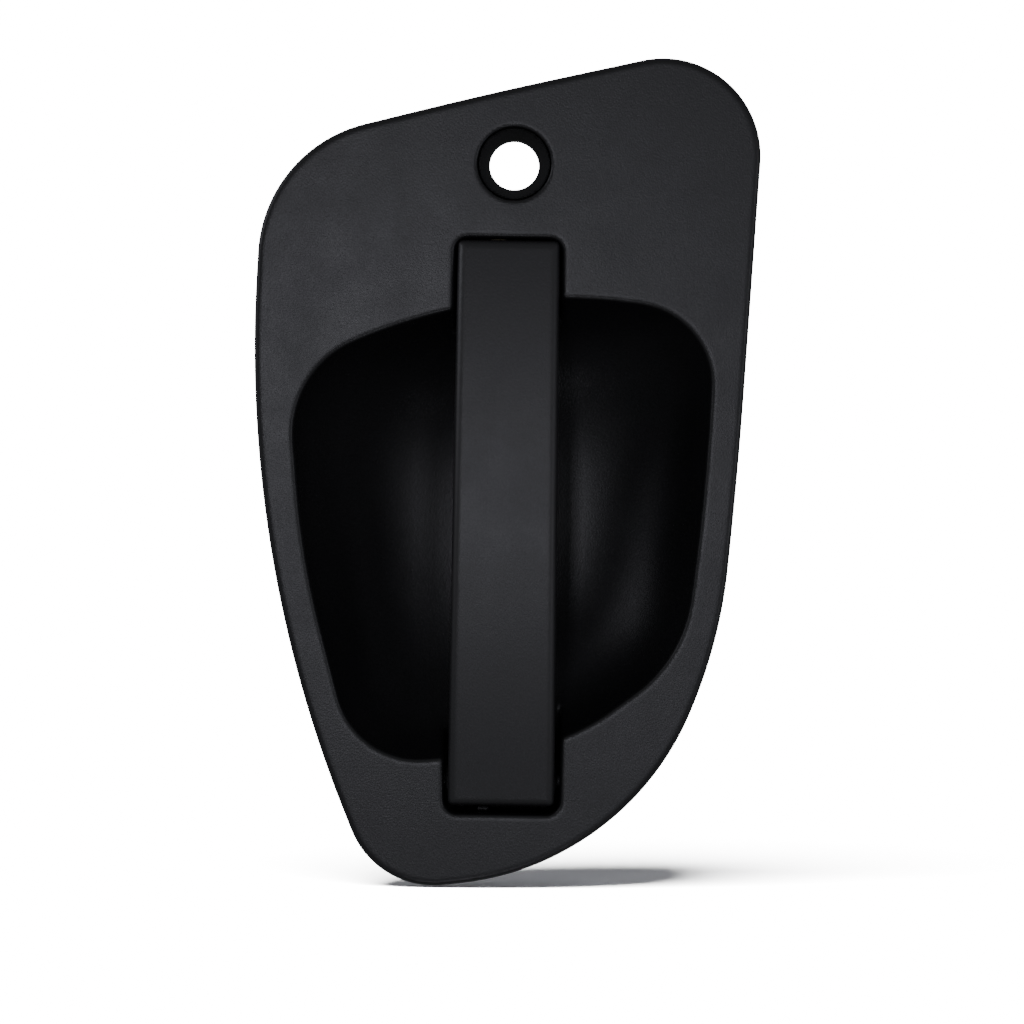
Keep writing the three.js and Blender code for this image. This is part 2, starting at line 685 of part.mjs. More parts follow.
function makeGripSpring() {
  const { radius, wire, start, pitch, turns } = GRIP_SPRING;
  const front = HINGE.y - radius;
  return torsionSpring({
    axis: [HINGE.y, HINGE.z],
    radius,
    wire,
    from: start,
    pitch,
    turns,
    startAngle: 180,
    direction: -1,
    firstLeg: [[-5.4, front, HINGE.z - 8], [-5.3, front, HINGE.z - 4]],
    lastLeg: [[5.1, front, HINGE.z + 4], [5.2, front, HINGE.z + 9.2]],
  });
}

function makeBumper(x) {
  const floor = TOP_WELL.floor;
  const back = floor + SHELL_WALL;
  const place = [x, BUMPER_Z];
  const pad = barY(BUMPER.pad, GRIP_TOP_BACK + FIT_GAP, floor - FIT_GAP, place, 16);
  const stem = barY(BUMPER.stem, floor - 1, back + 1, place, 12);
  const barb = barY(BUMPER.barb, back + FIT_GAP, back + BUMPER.barbReach, place, 12, BUMPER.barbTip);
  return joined(pad, stem, barb);
}

// -------------------------------------------------------------------------------------------------
// Pull arm and bell crank
// -------------------------------------------------------------------------------------------------

const LEAN = THREE.MathUtils.degToRad(CRANK.lean);
const DRIVE_PIN = [
  CRANK.y + CRANK.inputReach * Math.sin(LEAN),
  CRANK.z + CRANK.inputReach * Math.cos(LEAN),
];
const ROD_PIVOT = [
  CRANK.y + CRANK.outputReach * Math.cos(LEAN),
  CRANK.z - CRANK.outputReach * Math.sin(LEAN),
];

function armMiddle() {
  return DRIVE_PIN[1];
}

function armHeights() {
  return [armMiddle() - PULL_ARM.height / 2, armMiddle() + PULL_ARM.height / 2];
}

function crossPinY() {
  return (PULL_ARM.root + GRIP_TOP_BACK) / 2;
}

function makePullArm() {
  const [low, high] = armHeights();
  const [pinY, pinZ] = DRIVE_PIN;
  const tine = 3;
  const outer = FORK_SLOT + tine;
  const outline = [
    [PULL_ARM.root, low],
    [pinY - outer, low],
    [pinY - outer, pinZ - FORK_DEPTH],
    [pinY - FORK_SLOT, pinZ - FORK_DEPTH],
    ...arcPoints([pinY, pinZ + 0.6], FORK_SLOT, 180, 0),
    [pinY + FORK_SLOT, pinZ - FORK_DEPTH],
    [pinY + outer, pinZ - FORK_DEPTH],
    ...arcPoints([pinY, pinZ + 0.6], outer, 0, 72),
    [pinY - outer, high],
    [PULL_ARM.root, high],
  ];
  const blade = profile(outline, PULL_ARM.from, PULL_ARM.to);
  return cut(blade, barX(CROSS_PIN.hole, -25, 25, [crossPinY(), armMiddle()], 12));
}

function makeCrossPin() {
  const axis = [crossPinY(), armMiddle()];
  const { radius, hollow, from, to } = CROSS_PIN;
  return cut(barX(radius, from, to, axis, 16), barX(hollow, from - 1, to - 1, axis, 12));
}

// Outline of a crank plate with round ends: the two arms meet at the pivot.
function crankOutline() {
  const pivot = [CRANK.y, CRANK.z];
  const { lean, tip, plateHub } = CRANK;
  const elbow = [
    CRANK.y + CRANK.elbow * (Math.sin(LEAN) + Math.cos(LEAN)),
    CRANK.z + CRANK.elbow * (Math.cos(LEAN) - Math.sin(LEAN)),
  ];
  return [
    ...arcPoints(pivot, plateHub, 180 - lean, 270 - lean),
    ...arcPoints(ROD_PIVOT, tip, 270 - lean, 450 - lean),
    elbow,
    ...arcPoints(DRIVE_PIN, tip, -lean, 180 - lean),
  ];
}

function makeBellCrank() {
  const [from, to] = CRANK_PLATE;
  const pivot = [CRANK.y, CRANK.z];
  const plate = profile(crankOutline(), from, to);
  const hub = barX(CRANK.hub, -CRANK.hubHalf, CRANK.hubHalf, pivot);
  const pinHoles = [DRIVE_PIN, ROD_PIVOT].map((axis) => barX(CRANK.pinHole, -20, 20, axis, 16));
  return cut(joined(plate, hub), barX(CRANK.bore, -20, 20, pivot), ...pinHoles);
}

function makeDrivePin() {
  const back = CRANK_PLATE[1];
  const { radius, tip, from, to, shankEnd } = DRIVE_RIVET;
  const shank = barX(DRIVE.pin, DRIVE.headFrom + 0.2, back + shankEnd, DRIVE_PIN, 16);
  const rivet = barX(radius, back + from, back + to, DRIVE_PIN, 16, tip);
  const head = barX(DRIVE.head, DRIVE.headFrom, DRIVE.headTo, DRIVE_PIN, 16);
  return joined(shank, rivet, head);
}

function makeDriveSleeve() {
  const sleeve = barX(DRIVE.sleeve, DRIVE.sleeveFrom, CRANK_PLATE[0] - FIT_GAP, DRIVE_PIN, 16);
  return cut(sleeve, barX(CRANK.pinHole, -10, 10, DRIVE_PIN, 16));
}

const CRANK_SPRING_RADIUS = 6.9;
const CRANK_SPRING_ANCHOR = [CRANK.y - CRANK_SPRING_RADIUS, CRANK.z - 4.2];

function makeCrankBracket() {
  const { front, thickness, earInner, screwX, screwZ, hole } = BRACKET;
  const back = front + thickness;
  const foot = rounded([
    [-10, 37.5, 1],
    [10, 37.5, 1],
    [26, 39.5, 4],
    [26, 50.5, 4],
    [13.5, 50.5, 3],
    [10, 44.5, 2],
    [-10, 44.5, 2],
    [-13.5, 50.5, 3],
    [-26, 50.5, 4],
    [-26, 39.5, 4],
  ]);
  const ear = [
    [front, 44],
    [front, 38.2],
    [25.8, 30.6],
    [28.6, 28.9],
    ...arcPoints([CRANK.y, CRANK.z], 6.6, 270, 420),
  ];
  const ears = [[-earInner - thickness, -earInner], [earInner, earInner + thickness]].map(([from, to]) =>
    profile(ear, from, to),
  );
  const holes = [-screwX, screwX].map((x) => barY(hole, front - 1, back + 1, [x, screwZ], 16));
  const pivotHoles = barX(CRANK.bore, -20, 20, [CRANK.y, CRANK.z]);
  const springHole = barX(1.4, -20, 0, CRANK_SPRING_ANCHOR, 8);
  return cut(joined(slab(foot, front, back), ...ears), ...holes, pivotHoles, springHole);
}

function makeBracketScrew(x) {
  const seat = BRACKET.front + BRACKET.thickness + FIT_GAP;
  const place = [x, BRACKET.screwZ];
  const shank = barY(1.6, 11, seat + 0.5, place, 12);
  const washer = barY(4.4, seat, seat + 0.9, place, 20);
  const head = slab(moved(arcCircle(3.4, 6), place), seat + 0.5, seat + 3.4);
  return joined(shank, washer, head);
}

function makeCrankPin() {
  const ear = BRACKET.earInner + BRACKET.thickness;
  return groovedPin({
    radius: CRANK.pinRadius,
    headRadius: 5,
    headFrom: -ear - FIT_GAP - 1.8,
    headTo: -ear - FIT_GAP,
    end: ear + 3,
    grooveFrom: ear + 0.5,
    grooveTo: ear + 1.7,
    axis: [CRANK.y, CRANK.z],
  });
}

function makeCrankPinClip() {
  const ear = BRACKET.earInner + BRACKET.thickness;
  return retainingClip(ear + 0.7, ear + 1.5, [CRANK.y, CRANK.z], 2.5, 5.2);
}

function makeCrankSpring() {
  const [anchorY, anchorZ] = CRANK_SPRING_ANCHOR;
  const along = 15;
  const clear = 6.6;
  const hook = [
    CRANK.y + along * Math.sin(LEAN) - clear * Math.cos(LEAN),
    CRANK.z + along * Math.cos(LEAN) + clear * Math.sin(LEAN),
  ];
  return torsionSpring({
    axis: [CRANK.y, CRANK.z],
    radius: CRANK_SPRING_RADIUS,
    wire: 1.1,
    from: -6.6,
    pitch: 1.45,
    turns: 4,
    startAngle: 180,
    direction: -1,
    firstLeg: [
      [-9.7, anchorY, anchorZ],
      [-8.6, anchorY, anchorZ],
      [-7.3, anchorY, anchorZ + 0.2],
      [-6.8, anchorY, anchorZ + 1.6],
    ],
    lastLeg: [
      [-0.6, hook[0] - 4.6, hook[1] - 9],
      [-0.4, hook[0] - 0.7, hook[1] - 1.6],
      [0.4, ...hook],
      [4, ...hook],
    ],
  });
}

// A swivelling clip that grips the latch rod: a stem in the crank and a jaw with a gap at its back.
function makeRodClip() {
  const [y, z] = ROD_PIVOT;
  const [from, to] = [CRANK_PLATE[1] + FIT_GAP, CRANK_PLATE[1] + 7.3];
  const middle = (from + to) / 2;
  const jaw = rounded([
    [y - 5, z - 6, 2],
    [y + 4, z - 6, 1],
    [y + 4, z + 6, 1],
    [y - 5, z + 6, 2],
  ]);
  const body = profile(jaw, from, to);
  const stem = barX(2.2, CRANK_PLATE[0] - 0.5, from + 1, ROD_PIVOT, 16);
  const rodGeometry = new THREE.CylinderGeometry(1.85, 1.85, 20, 16);
  rodGeometry.rotateX(Math.PI / 2);
  rodGeometry.translate(middle, y + 0.8, z);
  const mouth = block([middle - 1.5, y + 0.8, z - 10], [middle + 1.5, y + 10, z + 10]);
  return cut(joined(body, stem), solid(rodGeometry), mouth);
}

// -------------------------------------------------------------------------------------------------
// Fixings
// -------------------------------------------------------------------------------------------------

function makeStud(place) {
  const shank = barY(STUD_RADIUS, -3, STUD_END - 1, place, 12);
  const tip = barY(STUD_RADIUS, STUD_END - 1, STUD_END, place, 12, STUD_RADIUS - 0.8);
  const head = slab(moved(arcCircle(STUD_HEAD, 6), place), -4.9, -2.4);
  return joined(shank, tip, head);
}

function makeWasher(place) {
  const { front, thickness, radius } = WASHER;
  return cut(
    barY(radius, front, front + thickness, place, 16),
    barY(STUD_RADIUS + 0.4, front - 1, front + 3, place, 12),
  );
}

function makeNut(place) {
  const front = WASHER.front + WASHER.thickness + FIT_GAP;
  const hex = slab(moved(arcCircle(NUT_RADIUS, 6), place), front, front + NUT_HEIGHT);
  const flange = barY(6.6, front, front + 1.2, place, 16);
  return cut(joined(hex, flange), barY(STUD_RADIUS + FIT_GAP, front - 1, front + 8, place, 12));
}

// -------------------------------------------------------------------------------------------------
// Assembly
// -------------------------------------------------------------------------------------------------

const handle = new THREE.Group();
handle.position.z = SEAT_DROP;

function place(name, body, material) {
  const mesh = new THREE.Mesh(geometryOf(body), material.clone());
  mesh.name = name;
  handle.add(mesh);
}

place('flange_plate', makeFlangePlate(), FINISHES.housing);
place('hand_bowl', makeHandBowl(), FINISHES.housing);
place('lock_collar', makeLockCollar(), FINISHES.housing);
place('flange_gasket', makeGasket(), FINISHES.foam);
place('grip_cover', makeGripCover(), FINISHES.grip);
place('grip_core', makeGripCore(), FINISHES.core);
place('grip_screw_upper', makeGripScrew(GRIP_SCREW_HEIGHTS[0]), FINISHES.steel);
place('grip_screw_lower', makeGripScrew(GRIP_SCREW_HEIGHTS[1]), FINISHES.steel);
place('pull_arm', makePullArm(), FINISHES.yellowSteel);
place('pull_arm_cross_pin', makeCrossPin(), FINISHES.springSteel);
place('hinge_pin', makeHingePin(), FINISHES.springSteel);
place('hinge_pin_clip', makeHingePinClip(), FINISHES.springSteel);
place('hinge_bush_left', makeBush(-1), FINISHES.acetal);
place('hinge_bush_right', makeBush(1), FINISHES.acetal);
place('grip_return_spring', makeGripSpring(), FINISHES.springSteel);
place('grip_bumper_left', makeBumper(-BUMPER_X), FINISHES.rubber);
place('grip_bumper_right', makeBumper(BUMPER_X), FINISHES.rubber);
place('crank_bracket', makeCrankBracket(), FINISHES.yellowSteel);
place('bracket_screw_left', makeBracketScrew(-BRACKET.screwX), FINISHES.steel);
place('bracket_screw_right', makeBracketScrew(BRACKET.screwX), FINISHES.steel);
place('bell_crank', makeBellCrank(), FINISHES.yellowSteel);
place('crank_drive_pin', makeDrivePin(), FINISHES.steel);
place('crank_drive_sleeve', makeDriveSleeve(), FINISHES.acetal);
place('crank_pivot_pin', makeCrankPin(), FINISHES.steel);
place('crank_pivot_clip', makeCrankPinClip(), FINISHES.springSteel);
place('crank_return_spring', makeCrankSpring(), FINISHES.springSteel);
place('rod_clip', makeRodClip(), FINISHES.acetal);
for (const [where, at] of Object.entries(STUD_PLACES)) {
  place(`fixing_stud_${where}`, makeStud(at), FINISHES.steel);
  place(`stud_washer_${where}`, makeWasher(at), FINISHES.steel);
  place(`stud_nut_${where}`, makeNut(at), FINISHES.steel);
}

export default handle;
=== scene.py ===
"""Flush pull door handle: its visible pieces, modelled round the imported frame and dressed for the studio.

Shapes are worked out in millimetres about the grip's centre line, with x to the right, y into the door
and z up. The frame's origin lies on the gasket's seat, so each finished mesh is scaled to metres and lifted
into place.
"""
import logging
import math
from collections.abc import Callable, Sequence
from dataclasses import dataclass, field
from enum import Enum
from typing import Any, Protocol

import bmesh
import bpy
import numpy as np
from mathutils import Matrix, Vector


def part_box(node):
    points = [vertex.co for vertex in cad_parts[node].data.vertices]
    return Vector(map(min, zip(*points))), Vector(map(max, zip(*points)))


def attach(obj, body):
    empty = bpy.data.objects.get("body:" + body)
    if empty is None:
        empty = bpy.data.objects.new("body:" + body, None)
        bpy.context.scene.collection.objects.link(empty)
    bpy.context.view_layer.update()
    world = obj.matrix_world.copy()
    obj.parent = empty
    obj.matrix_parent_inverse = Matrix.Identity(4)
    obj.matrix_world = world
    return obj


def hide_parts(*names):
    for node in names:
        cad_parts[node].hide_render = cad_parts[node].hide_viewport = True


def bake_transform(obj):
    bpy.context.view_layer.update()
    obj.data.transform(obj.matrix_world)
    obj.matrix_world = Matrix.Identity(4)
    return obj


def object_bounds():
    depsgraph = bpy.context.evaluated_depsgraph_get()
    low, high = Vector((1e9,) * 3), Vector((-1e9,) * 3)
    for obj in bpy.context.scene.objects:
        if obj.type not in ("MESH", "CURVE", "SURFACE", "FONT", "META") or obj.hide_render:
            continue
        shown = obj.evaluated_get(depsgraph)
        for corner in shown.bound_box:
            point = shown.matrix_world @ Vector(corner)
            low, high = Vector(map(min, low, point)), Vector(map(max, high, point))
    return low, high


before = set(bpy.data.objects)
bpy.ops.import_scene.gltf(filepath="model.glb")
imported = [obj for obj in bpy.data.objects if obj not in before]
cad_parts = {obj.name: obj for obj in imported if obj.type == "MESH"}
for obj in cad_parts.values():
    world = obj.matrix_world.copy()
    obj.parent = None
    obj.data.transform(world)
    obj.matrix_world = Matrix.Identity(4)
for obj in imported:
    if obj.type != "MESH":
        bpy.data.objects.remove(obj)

LOG = logging.getLogger("door_handle")
CAD_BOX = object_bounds()

Array = np.ndarray
Corner = tuple[float, float, float]
Shape = Callable[[Array, Array, Array], Array]

MM = 0.001
GRIP_MIDDLE = -14.6  # the grip's mid height, in millimetres above the drawing's zero


def frame_lift() -> float:
    """Height of the drawing's zero above the frame's origin, in millimetres, found from the grip's box."""
    low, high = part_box("grip_cover")
    return (low.z + high.z) / (2 * MM) - GRIP_MIDDLE


LIFT = frame_lift()


# ----------------------------------------------------------------------------------------------------------
# Distances and shapes
# ----------------------------------------------------------------------------------------------------------


def meet(a: Array, b: Array, radius: float = 0.0) -> Array:
    """What two shapes share, with a round of this radius where their faces meet.

    Args:
        a: Signed distance to the first shape.
        b: Signed distance to the second shape.
        radius: Radius of the rounded edge.

    Returns:
        Signed distance to the shared shape.
    """
    if not radius:
        return np.maximum(a, b)
    rounded = np.hypot(np.maximum(a + radius, 0), np.maximum(b + radius, 0))
    return np.minimum(-radius, np.maximum(a, b)) + rounded


def join(a: Array, b: Array, radius: float = 0.0) -> Array:
    """Two shapes together, with a fillet of this radius between them."""
    return -meet(-a, -b, radius)


def carve(body: Array, tool: Array, radius: float = 0.0) -> Array:
    """A shape with a tool's space cut out, its edge rounded by this radius."""
    return meet(body, -tool, radius)


def box_distance(
    u: Array, v: Array, low: Sequence[float], high: Sequence[float], radius: float = 0.0
) -> Array:
    """Signed distance to a rectangle with rounded corners.

    Args:
        u: First coordinates.
        v: Second coordinates.
        low: Lower corner.
        high: Upper corner.
        radius: Corner radius.

    Returns:
        Signed distance, negative inside.
    """
    du = np.abs(u - (low[0] + high[0]) / 2) - (high[0] - low[0]) / 2
    dv = np.abs(v - (low[1] + high[1]) / 2) - (high[1] - low[1]) / 2
    return meet(du, dv, radius)


def between(value: Array, low: float, high: float) -> Array:
    """Signed distance to the layer between two planes."""
    return np.maximum(low - value, value - high)


def smooth(share: Array) -> Array:
    """A gentle step from 0 to 1."""
    held = np.clip(share, 0, 1)
    return held * held * (3 - 2 * held)


@dataclass(frozen=True)
class Block:
    """A block, rib or pocket with sides along the axes, between two opposite (x, y, z) corners."""

    low: tuple[float, float, float]
    high: tuple[float, float, float]
    corner: float = 0.0
    edge: float = 0.0

    def distance(self, x: Array, y: Array, z: Array) -> Array:
        """Signed distance to the block, its upright corners and its front and back edges rounded."""
        across = box_distance(x, z, self.low[::2], self.high[::2], self.corner)
        return meet(across, between(y, self.low[1], self.high[1]), self.edge)


@dataclass(frozen=True)
class Outline:
    """A closed outline through rounded corners, each (u, v, radius)."""

    corners: tuple[Corner, ...]

    def points(self, sagitta: float = 0.01) -> Array:
        """Points along the outline.

        Args:
            sagitta: Largest distance from an arc to its chords.

        Returns:
            An array of (u, v) rows.
        """
        total = len(self.corners)
        rows: list[tuple[float, float]] = []
        for i, (u, v, radius) in enumerate(self.corners):
            corner = np.array([u, v])
            ways = []
            for other in (self.corners[i - 1], self.corners[(i + 1) % total]):
                way = np.array(other[:2]) - corner
                ways.append(way / np.linalg.norm(way))
            half = math.acos(float(np.clip(ways[0] @ ways[1], -1, 1))) / 2
            middle = ways[0] + ways[1]
            centre = corner + middle / np.linalg.norm(middle) * radius / math.sin(half)
            ends = [corner + way * radius / math.tan(half) - centre for way in ways]
            start = math.atan2(ends[0][1], ends[0][0])
            sweep = math.remainder(math.atan2(ends[1][1], ends[1][0]) - start, math.tau)
            step = 2 * math.acos(1 - min(0.9, sagitta / radius))
            for turn in np.linspace(0, sweep, max(1, math.ceil(abs(sweep) / step)) + 1):
                at = start + turn
                rows.append((centre[0] + radius * math.cos(at), centre[1] + radius * math.sin(at)))
        return np.array(rows)

    def even_points(self, gap: float = 0.5) -> Array:
        """Points along the outline, no further apart than a gap."""
        points = self.points()
        rows = []
        for start, end in zip(points, np.roll(points, -1, axis=0)):
            count = max(1, math.ceil(float(np.linalg.norm(end - start)) / gap))
            rows.append(start + (end - start) * (np.arange(count) / count)[:, None])
        return np.concatenate(rows)

    def distance(self, u: Array, v: Array) -> Array:
        """Signed distance to the outline, negative inside."""
        points = self.points()
        nearest = np.full(np.broadcast(u, v).shape, np.inf)
        inside = np.zeros(nearest.shape, bool)
        for (u0, v0), (u1, v1) in zip(points, np.roll(points, -1, axis=0)):
            du, dv = u1 - u0, v1 - v0
            along = np.clip(((u - u0) * du + (v - v0) * dv) / (du * du + dv * dv + 1e-12), 0, 1)
            nearest = np.minimum(nearest, (u - u0 - along * du) ** 2 + (v - v0 - along * dv) ** 2)
            if dv:
                inside ^= ((v0 > v) != (v1 > v)) & (u < du * (v - v0) / dv + u0)
        return np.where(inside, -1.0, 1.0) * np.sqrt(nearest)


@dataclass(frozen=True)
class PlanarField:
    """Values on a fine grid over x and z, blended between the nearest four grid points."""

    low: tuple[float, float]
    step: float
    values: Array

    @classmethod
    def sample(
        cls,
        rule: Callable[[Array, Array], Array],
        low: tuple[float, float],
        high: tuple[float, float],
        step: float,
    ) -> "PlanarField":
        """Works a rule out on a grid.

        Args:
            rule: Gives values at x and z.
            low: Lower corner of the grid.
            high: Upper corner of the grid.
            step: Grid spacing.

        Returns:
            The field.
        """
        x = np.arange(low[0], high[0] + step, step)[:, None]
        z = np.arange(low[1], high[1] + step, step)[None, :]
        return cls(low, step, rule(x, z))

    def __call__(self, x: Array, z: Array) -> Array:
        """Values at x and z, which may be grids or lists of points."""
        u, v = (np.asarray(q, float) for q in (x, z))
        u = np.clip((u - self.low[0]) / self.step, 0, self.values.shape[0] - 1.001)
        v = np.clip((v - self.low[1]) / self.step, 0, self.values.shape[1] - 1.001)
        i, j = u.astype(int), v.astype(int)
        a, b = u - i, v - j
        g = self.values
        near = g[i, j] * (1 - a) + g[i + 1, j] * a
        far = g[i, j + 1] * (1 - a) + g[i + 1, j + 1] * a
        return near * (1 - b) + far * b


# ----------------------------------------------------------------------------------------------------------
# Meshes
# ----------------------------------------------------------------------------------------------------------


def make_mesh(name: str, points: Array, faces: Array | Sequence[Sequence[int]]) -> bpy.types.Mesh:
    """A smooth-shaded mesh in the frame, from points in the drawing.

    Args:
        name: Name of the mesh.
        points: Rows of x, y and z in millimetres.
        faces: Rows of point numbers.

    Returns:
        The mesh, in metres, lifted into the frame.
    """
    mesh = bpy.data.meshes.new(name)
    placed = (np.asarray(points) + (0, 0, LIFT)) * MM
    if isinstance(faces, np.ndarray):
        mesh.vertices.add(len(placed))
        mesh.vertices.foreach_set("co", placed.astype(np.float32).ravel())
        mesh.loops.add(faces.size)
        mesh.loops.foreach_set("vertex_index", faces.astype(np.int32).ravel())
        mesh.polygons.add(len(faces))
        mesh.polygons.foreach_set("loop_start", np.arange(0, faces.size, faces.shape[1], dtype=np.int32))
        mesh.update(calc_edges=True)
    else:
        mesh.from_pydata(placed.tolist(), [], [list(face) for face in faces])
    mesh.validate()
    mesh.shade_smooth()
    return mesh


@dataclass(frozen=True)
class Sculpture:
    """A closed surface wrapped round a shape given by its signed distance, on a grid of cells."""

    shape: Shape
    low: tuple[float, float, float]
    high: tuple[float, float, float]
    step: float
    passes: int = 3

    def mesh(self, name: str) -> bpy.types.Mesh:
        """Wraps the shape: a point in each cell that the surface crosses, a face across each grid edge.

        Args:
            name: Name of the mesh.

        Returns:
            The mesh.
        """
        step = self.step
        axes = [np.arange(low - step, high + 2 * step, step) for low, high in zip(self.low, self.high)]
        grid = self.shape(axes[0][:, None, None], axes[1][None, :, None], axes[2][None, None, :])
        grid = np.ascontiguousarray(np.broadcast_to(grid, [len(a) for a in axes]))
        inside = grid < 0
        corners = [(i, j, k) for i in (0, 1) for j in (0, 1) for k in (0, 1)]
        size = [n - 1 for n in grid.shape]
        count = np.zeros(size, np.int8)
        for i, j, k in corners:
            count += inside[i : i + size[0], j : j + size[1], k : k + size[2]]
        cells = np.argwhere((count > 0) & (count < 8))
        number = np.full(size, -1, np.int64)
        number[tuple(cells.T)] = np.arange(len(cells))
        values = {c: grid[tuple((cells + c).T)] for c in corners}
        total = np.zeros((len(cells), 3))
        crossings = np.zeros(len(cells))
        for start in corners:
            for axis in range(3):
                if start[axis]:
                    continue
                end = tuple(c + (n == axis) for n, c in enumerate(start))
                a, b = values[start], values[end]
                crosses = (a < 0) != (b < 0)
                share = np.where(crosses, a / np.where(crosses, a - b, 1), 0)
                spot = np.array(start, float) + np.eye(3)[axis] * share[:, None]
                total += spot * crosses[:, None]
                crossings += crosses
        origin = np.array([a[0] for a in axes])
        points = origin + (cells + total / crossings[:, None]) * step
        return make_mesh(name, self._settled(points), self._faces(inside, number))

    def _faces(self, inside: Array, number: Array) -> Array:
        """Four-sided faces across the grid edges that pass through the surface, facing out.

        Args:
            inside: Which grid points lie inside the shape.
            number: The point number of each cell.

        Returns:
            Rows of four point numbers.
        """
        rows = []
        for axis in range(3):
            b, c = (axis + 1) % 3, (axis + 2) % 3
            near = np.moveaxis(inside, (axis, b, c), (0, 1, 2))
            cell = np.moveaxis(number, (axis, b, c), (0, 1, 2))
            crossing = near[:-1, 1:-1, 1:-1] != near[1:, 1:-1, 1:-1]
            spots = np.argwhere(crossing)
            out = near[:-1, 1:-1, 1:-1][crossing]
            i, j, k = spots.T
            around = [cell[i, j, k], cell[i, j + 1, k], cell[i, j + 1, k + 1], cell[i, j, k + 1]]
            ring = np.stack(around, axis=1)
            ring[~out] = ring[~out][:, ::-1]
            rows.append(ring)
        return np.concatenate(rows)

    def _settled(self, points: Array) -> Array:
        """Points moved along the shape's slope until they lie on its surface."""
        reach = self.step * 0.05
        for _ in range(self.passes):
            value = self.shape(*points.T)
            slope = np.empty_like(points)
            for axis in range(3):
                ahead, behind = points.copy(), points.copy()
                ahead[:, axis] += reach
                behind[:, axis] -= reach
                slope[:, axis] = (self.shape(*ahead.T) - self.shape(*behind.T)) / (2 * reach)
            move = slope * (value / np.maximum((slope**2).sum(axis=1), 0.2))[:, None]
            length = np.linalg.norm(move, axis=1, keepdims=True)
            points = points - move * np.minimum(1, 0.6 * self.step / np.maximum(length, 1e-9))
        return points


# ----------------------------------------------------------------------------------------------------------
# Shader expressions
# ----------------------------------------------------------------------------------------------------------


class Signal:
    """A number that varies over a surface, read from a node's socket; its arithmetic adds Math nodes."""

    def __init__(self, graph: "ShaderGraph", socket: bpy.types.NodeSocket) -> None:
        """Wraps a socket of a graph's node."""
        self.graph = graph
        self.socket = socket

    def _math(self, operation: str, *values: "Signal | float") -> "Signal":
        """The result of a Math node on these values."""
        return self.graph.node("ShaderNodeMath", {"operation": operation}, dict(enumerate(values)))

    def __add__(self, other: "Signal | float") -> "Signal":
        """Sum."""
        return self._math("ADD", self, other)

    __radd__ = __add__

    def __sub__(self, other: "Signal | float") -> "Signal":
        """Difference."""
        return self._math("SUBTRACT", self, other)

    def __rsub__(self, other: "Signal | float") -> "Signal":
        """Difference from a value on the left."""
        return self._math("SUBTRACT", other, self)

    def __mul__(self, other: "Signal | float") -> "Signal":
        """Product."""
        return self._math("MULTIPLY", self, other)

    __rmul__ = __mul__

    def clamped(self, low: float = 0.0, high: float = 1.0) -> "Signal":
        """The value held between two limits."""
        return self._math("MINIMUM", self._math("MAXIMUM", self, low), high)


class ShaderGraph:
    """One material's nodes."""

    def __init__(self, name: str) -> None:
        """Starts a material with only its output and main shader."""
        self.material = bpy.data.materials.new(name)
        self.material.use_nodes = True
        self.tree = self.material.node_tree
        self.shader = self.tree.nodes["Principled BSDF"]

    def node(
        self,
        kind: str,
        settings: dict[str, Any] | None = None,
        inputs: dict[str | int, Any] | None = None,
        output: str | int = 0,
    ) -> Signal:
        """Adds a node.

        Args:
            kind: The node's type.
            settings: Its properties.
            inputs: Values or signals for its sockets, by name or number.
            output: The socket that is read from it.

        Returns:
            The signal of that output.
        """
        made = self.tree.nodes.new(kind)
        for key, value in (settings or {}).items():
            setattr(made, key, value)
        for key, value in (inputs or {}).items():
            self.feed(made.inputs[key], value)
        return Signal(self, made.outputs[output])

    def feed(self, socket: bpy.types.NodeSocket, value: Any) -> None:
        """Links a signal to a socket, or sets the socket's own value."""
        if isinstance(value, Signal):
            self.tree.links.new(value.socket, socket)
        else:
            socket.default_value = value

    def place(self) -> Signal:
        """The surface point in the object's own space."""
        return self.node("ShaderNodeTexCoord", output="Object")

    def noise(self, scale: float, detail: float = 2.0, roughness: float = 0.5, offset: float = 0.0) -> Signal:
        """Soft noise with this many features to the metre."""
        shift = (offset, offset * 1.7, offset * 0.6)
        where = self.node("ShaderNodeMapping", {}, {"Vector": self.place(), "Location": shift})
        inputs = {"Vector": where, "Scale": scale, "Detail": detail, "Roughness": roughness}
        return self.node("ShaderNodeTexNoise", {}, inputs)

    def blend(self, share: Signal | float, first: Any, second: Any) -> Signal:
        """A colour between two colours."""
        return self.node(
            "ShaderNodeMix", {"data_type": "RGBA"}, {"Factor": share, 6: first, 7: second}, output=2
        )

    def bump(self, height: Signal, strength: float, distance: float) -> Signal:
        """A bumped normal from a height."""
        return self.node("ShaderNodeBump", {}, {"Height": height, "Strength": strength, "Distance": distance})

    def dress(self, **sockets: Any) -> bpy.types.Material:
        """Feeds the main shader's sockets, named with underscores for spaces."""
        for name, value in sockets.items():
            self.feed(self.shader.inputs[name.replace("_", " ")], value)
        return self.material


def rgb(level: float, tint: Corner = (1.0, 1.0, 1.0)) -> tuple[float, float, float, float]:
    """A colour of this brightness, leaning to a tint."""
    return (level * tint[0], level * tint[1], level * tint[2], 1.0)


@dataclass(frozen=True)
class Finish:
    """A finish: a material of the record's slot."""

    name: str
    slot: str

    def material(self) -> bpy.types.Material:
        """Builds the material."""
        raise NotImplementedError

    def made(self) -> bpy.types.Material:
        """The finish's material, built the first time it is asked for."""
        return bpy.data.materials.get(self.name) or self.material()


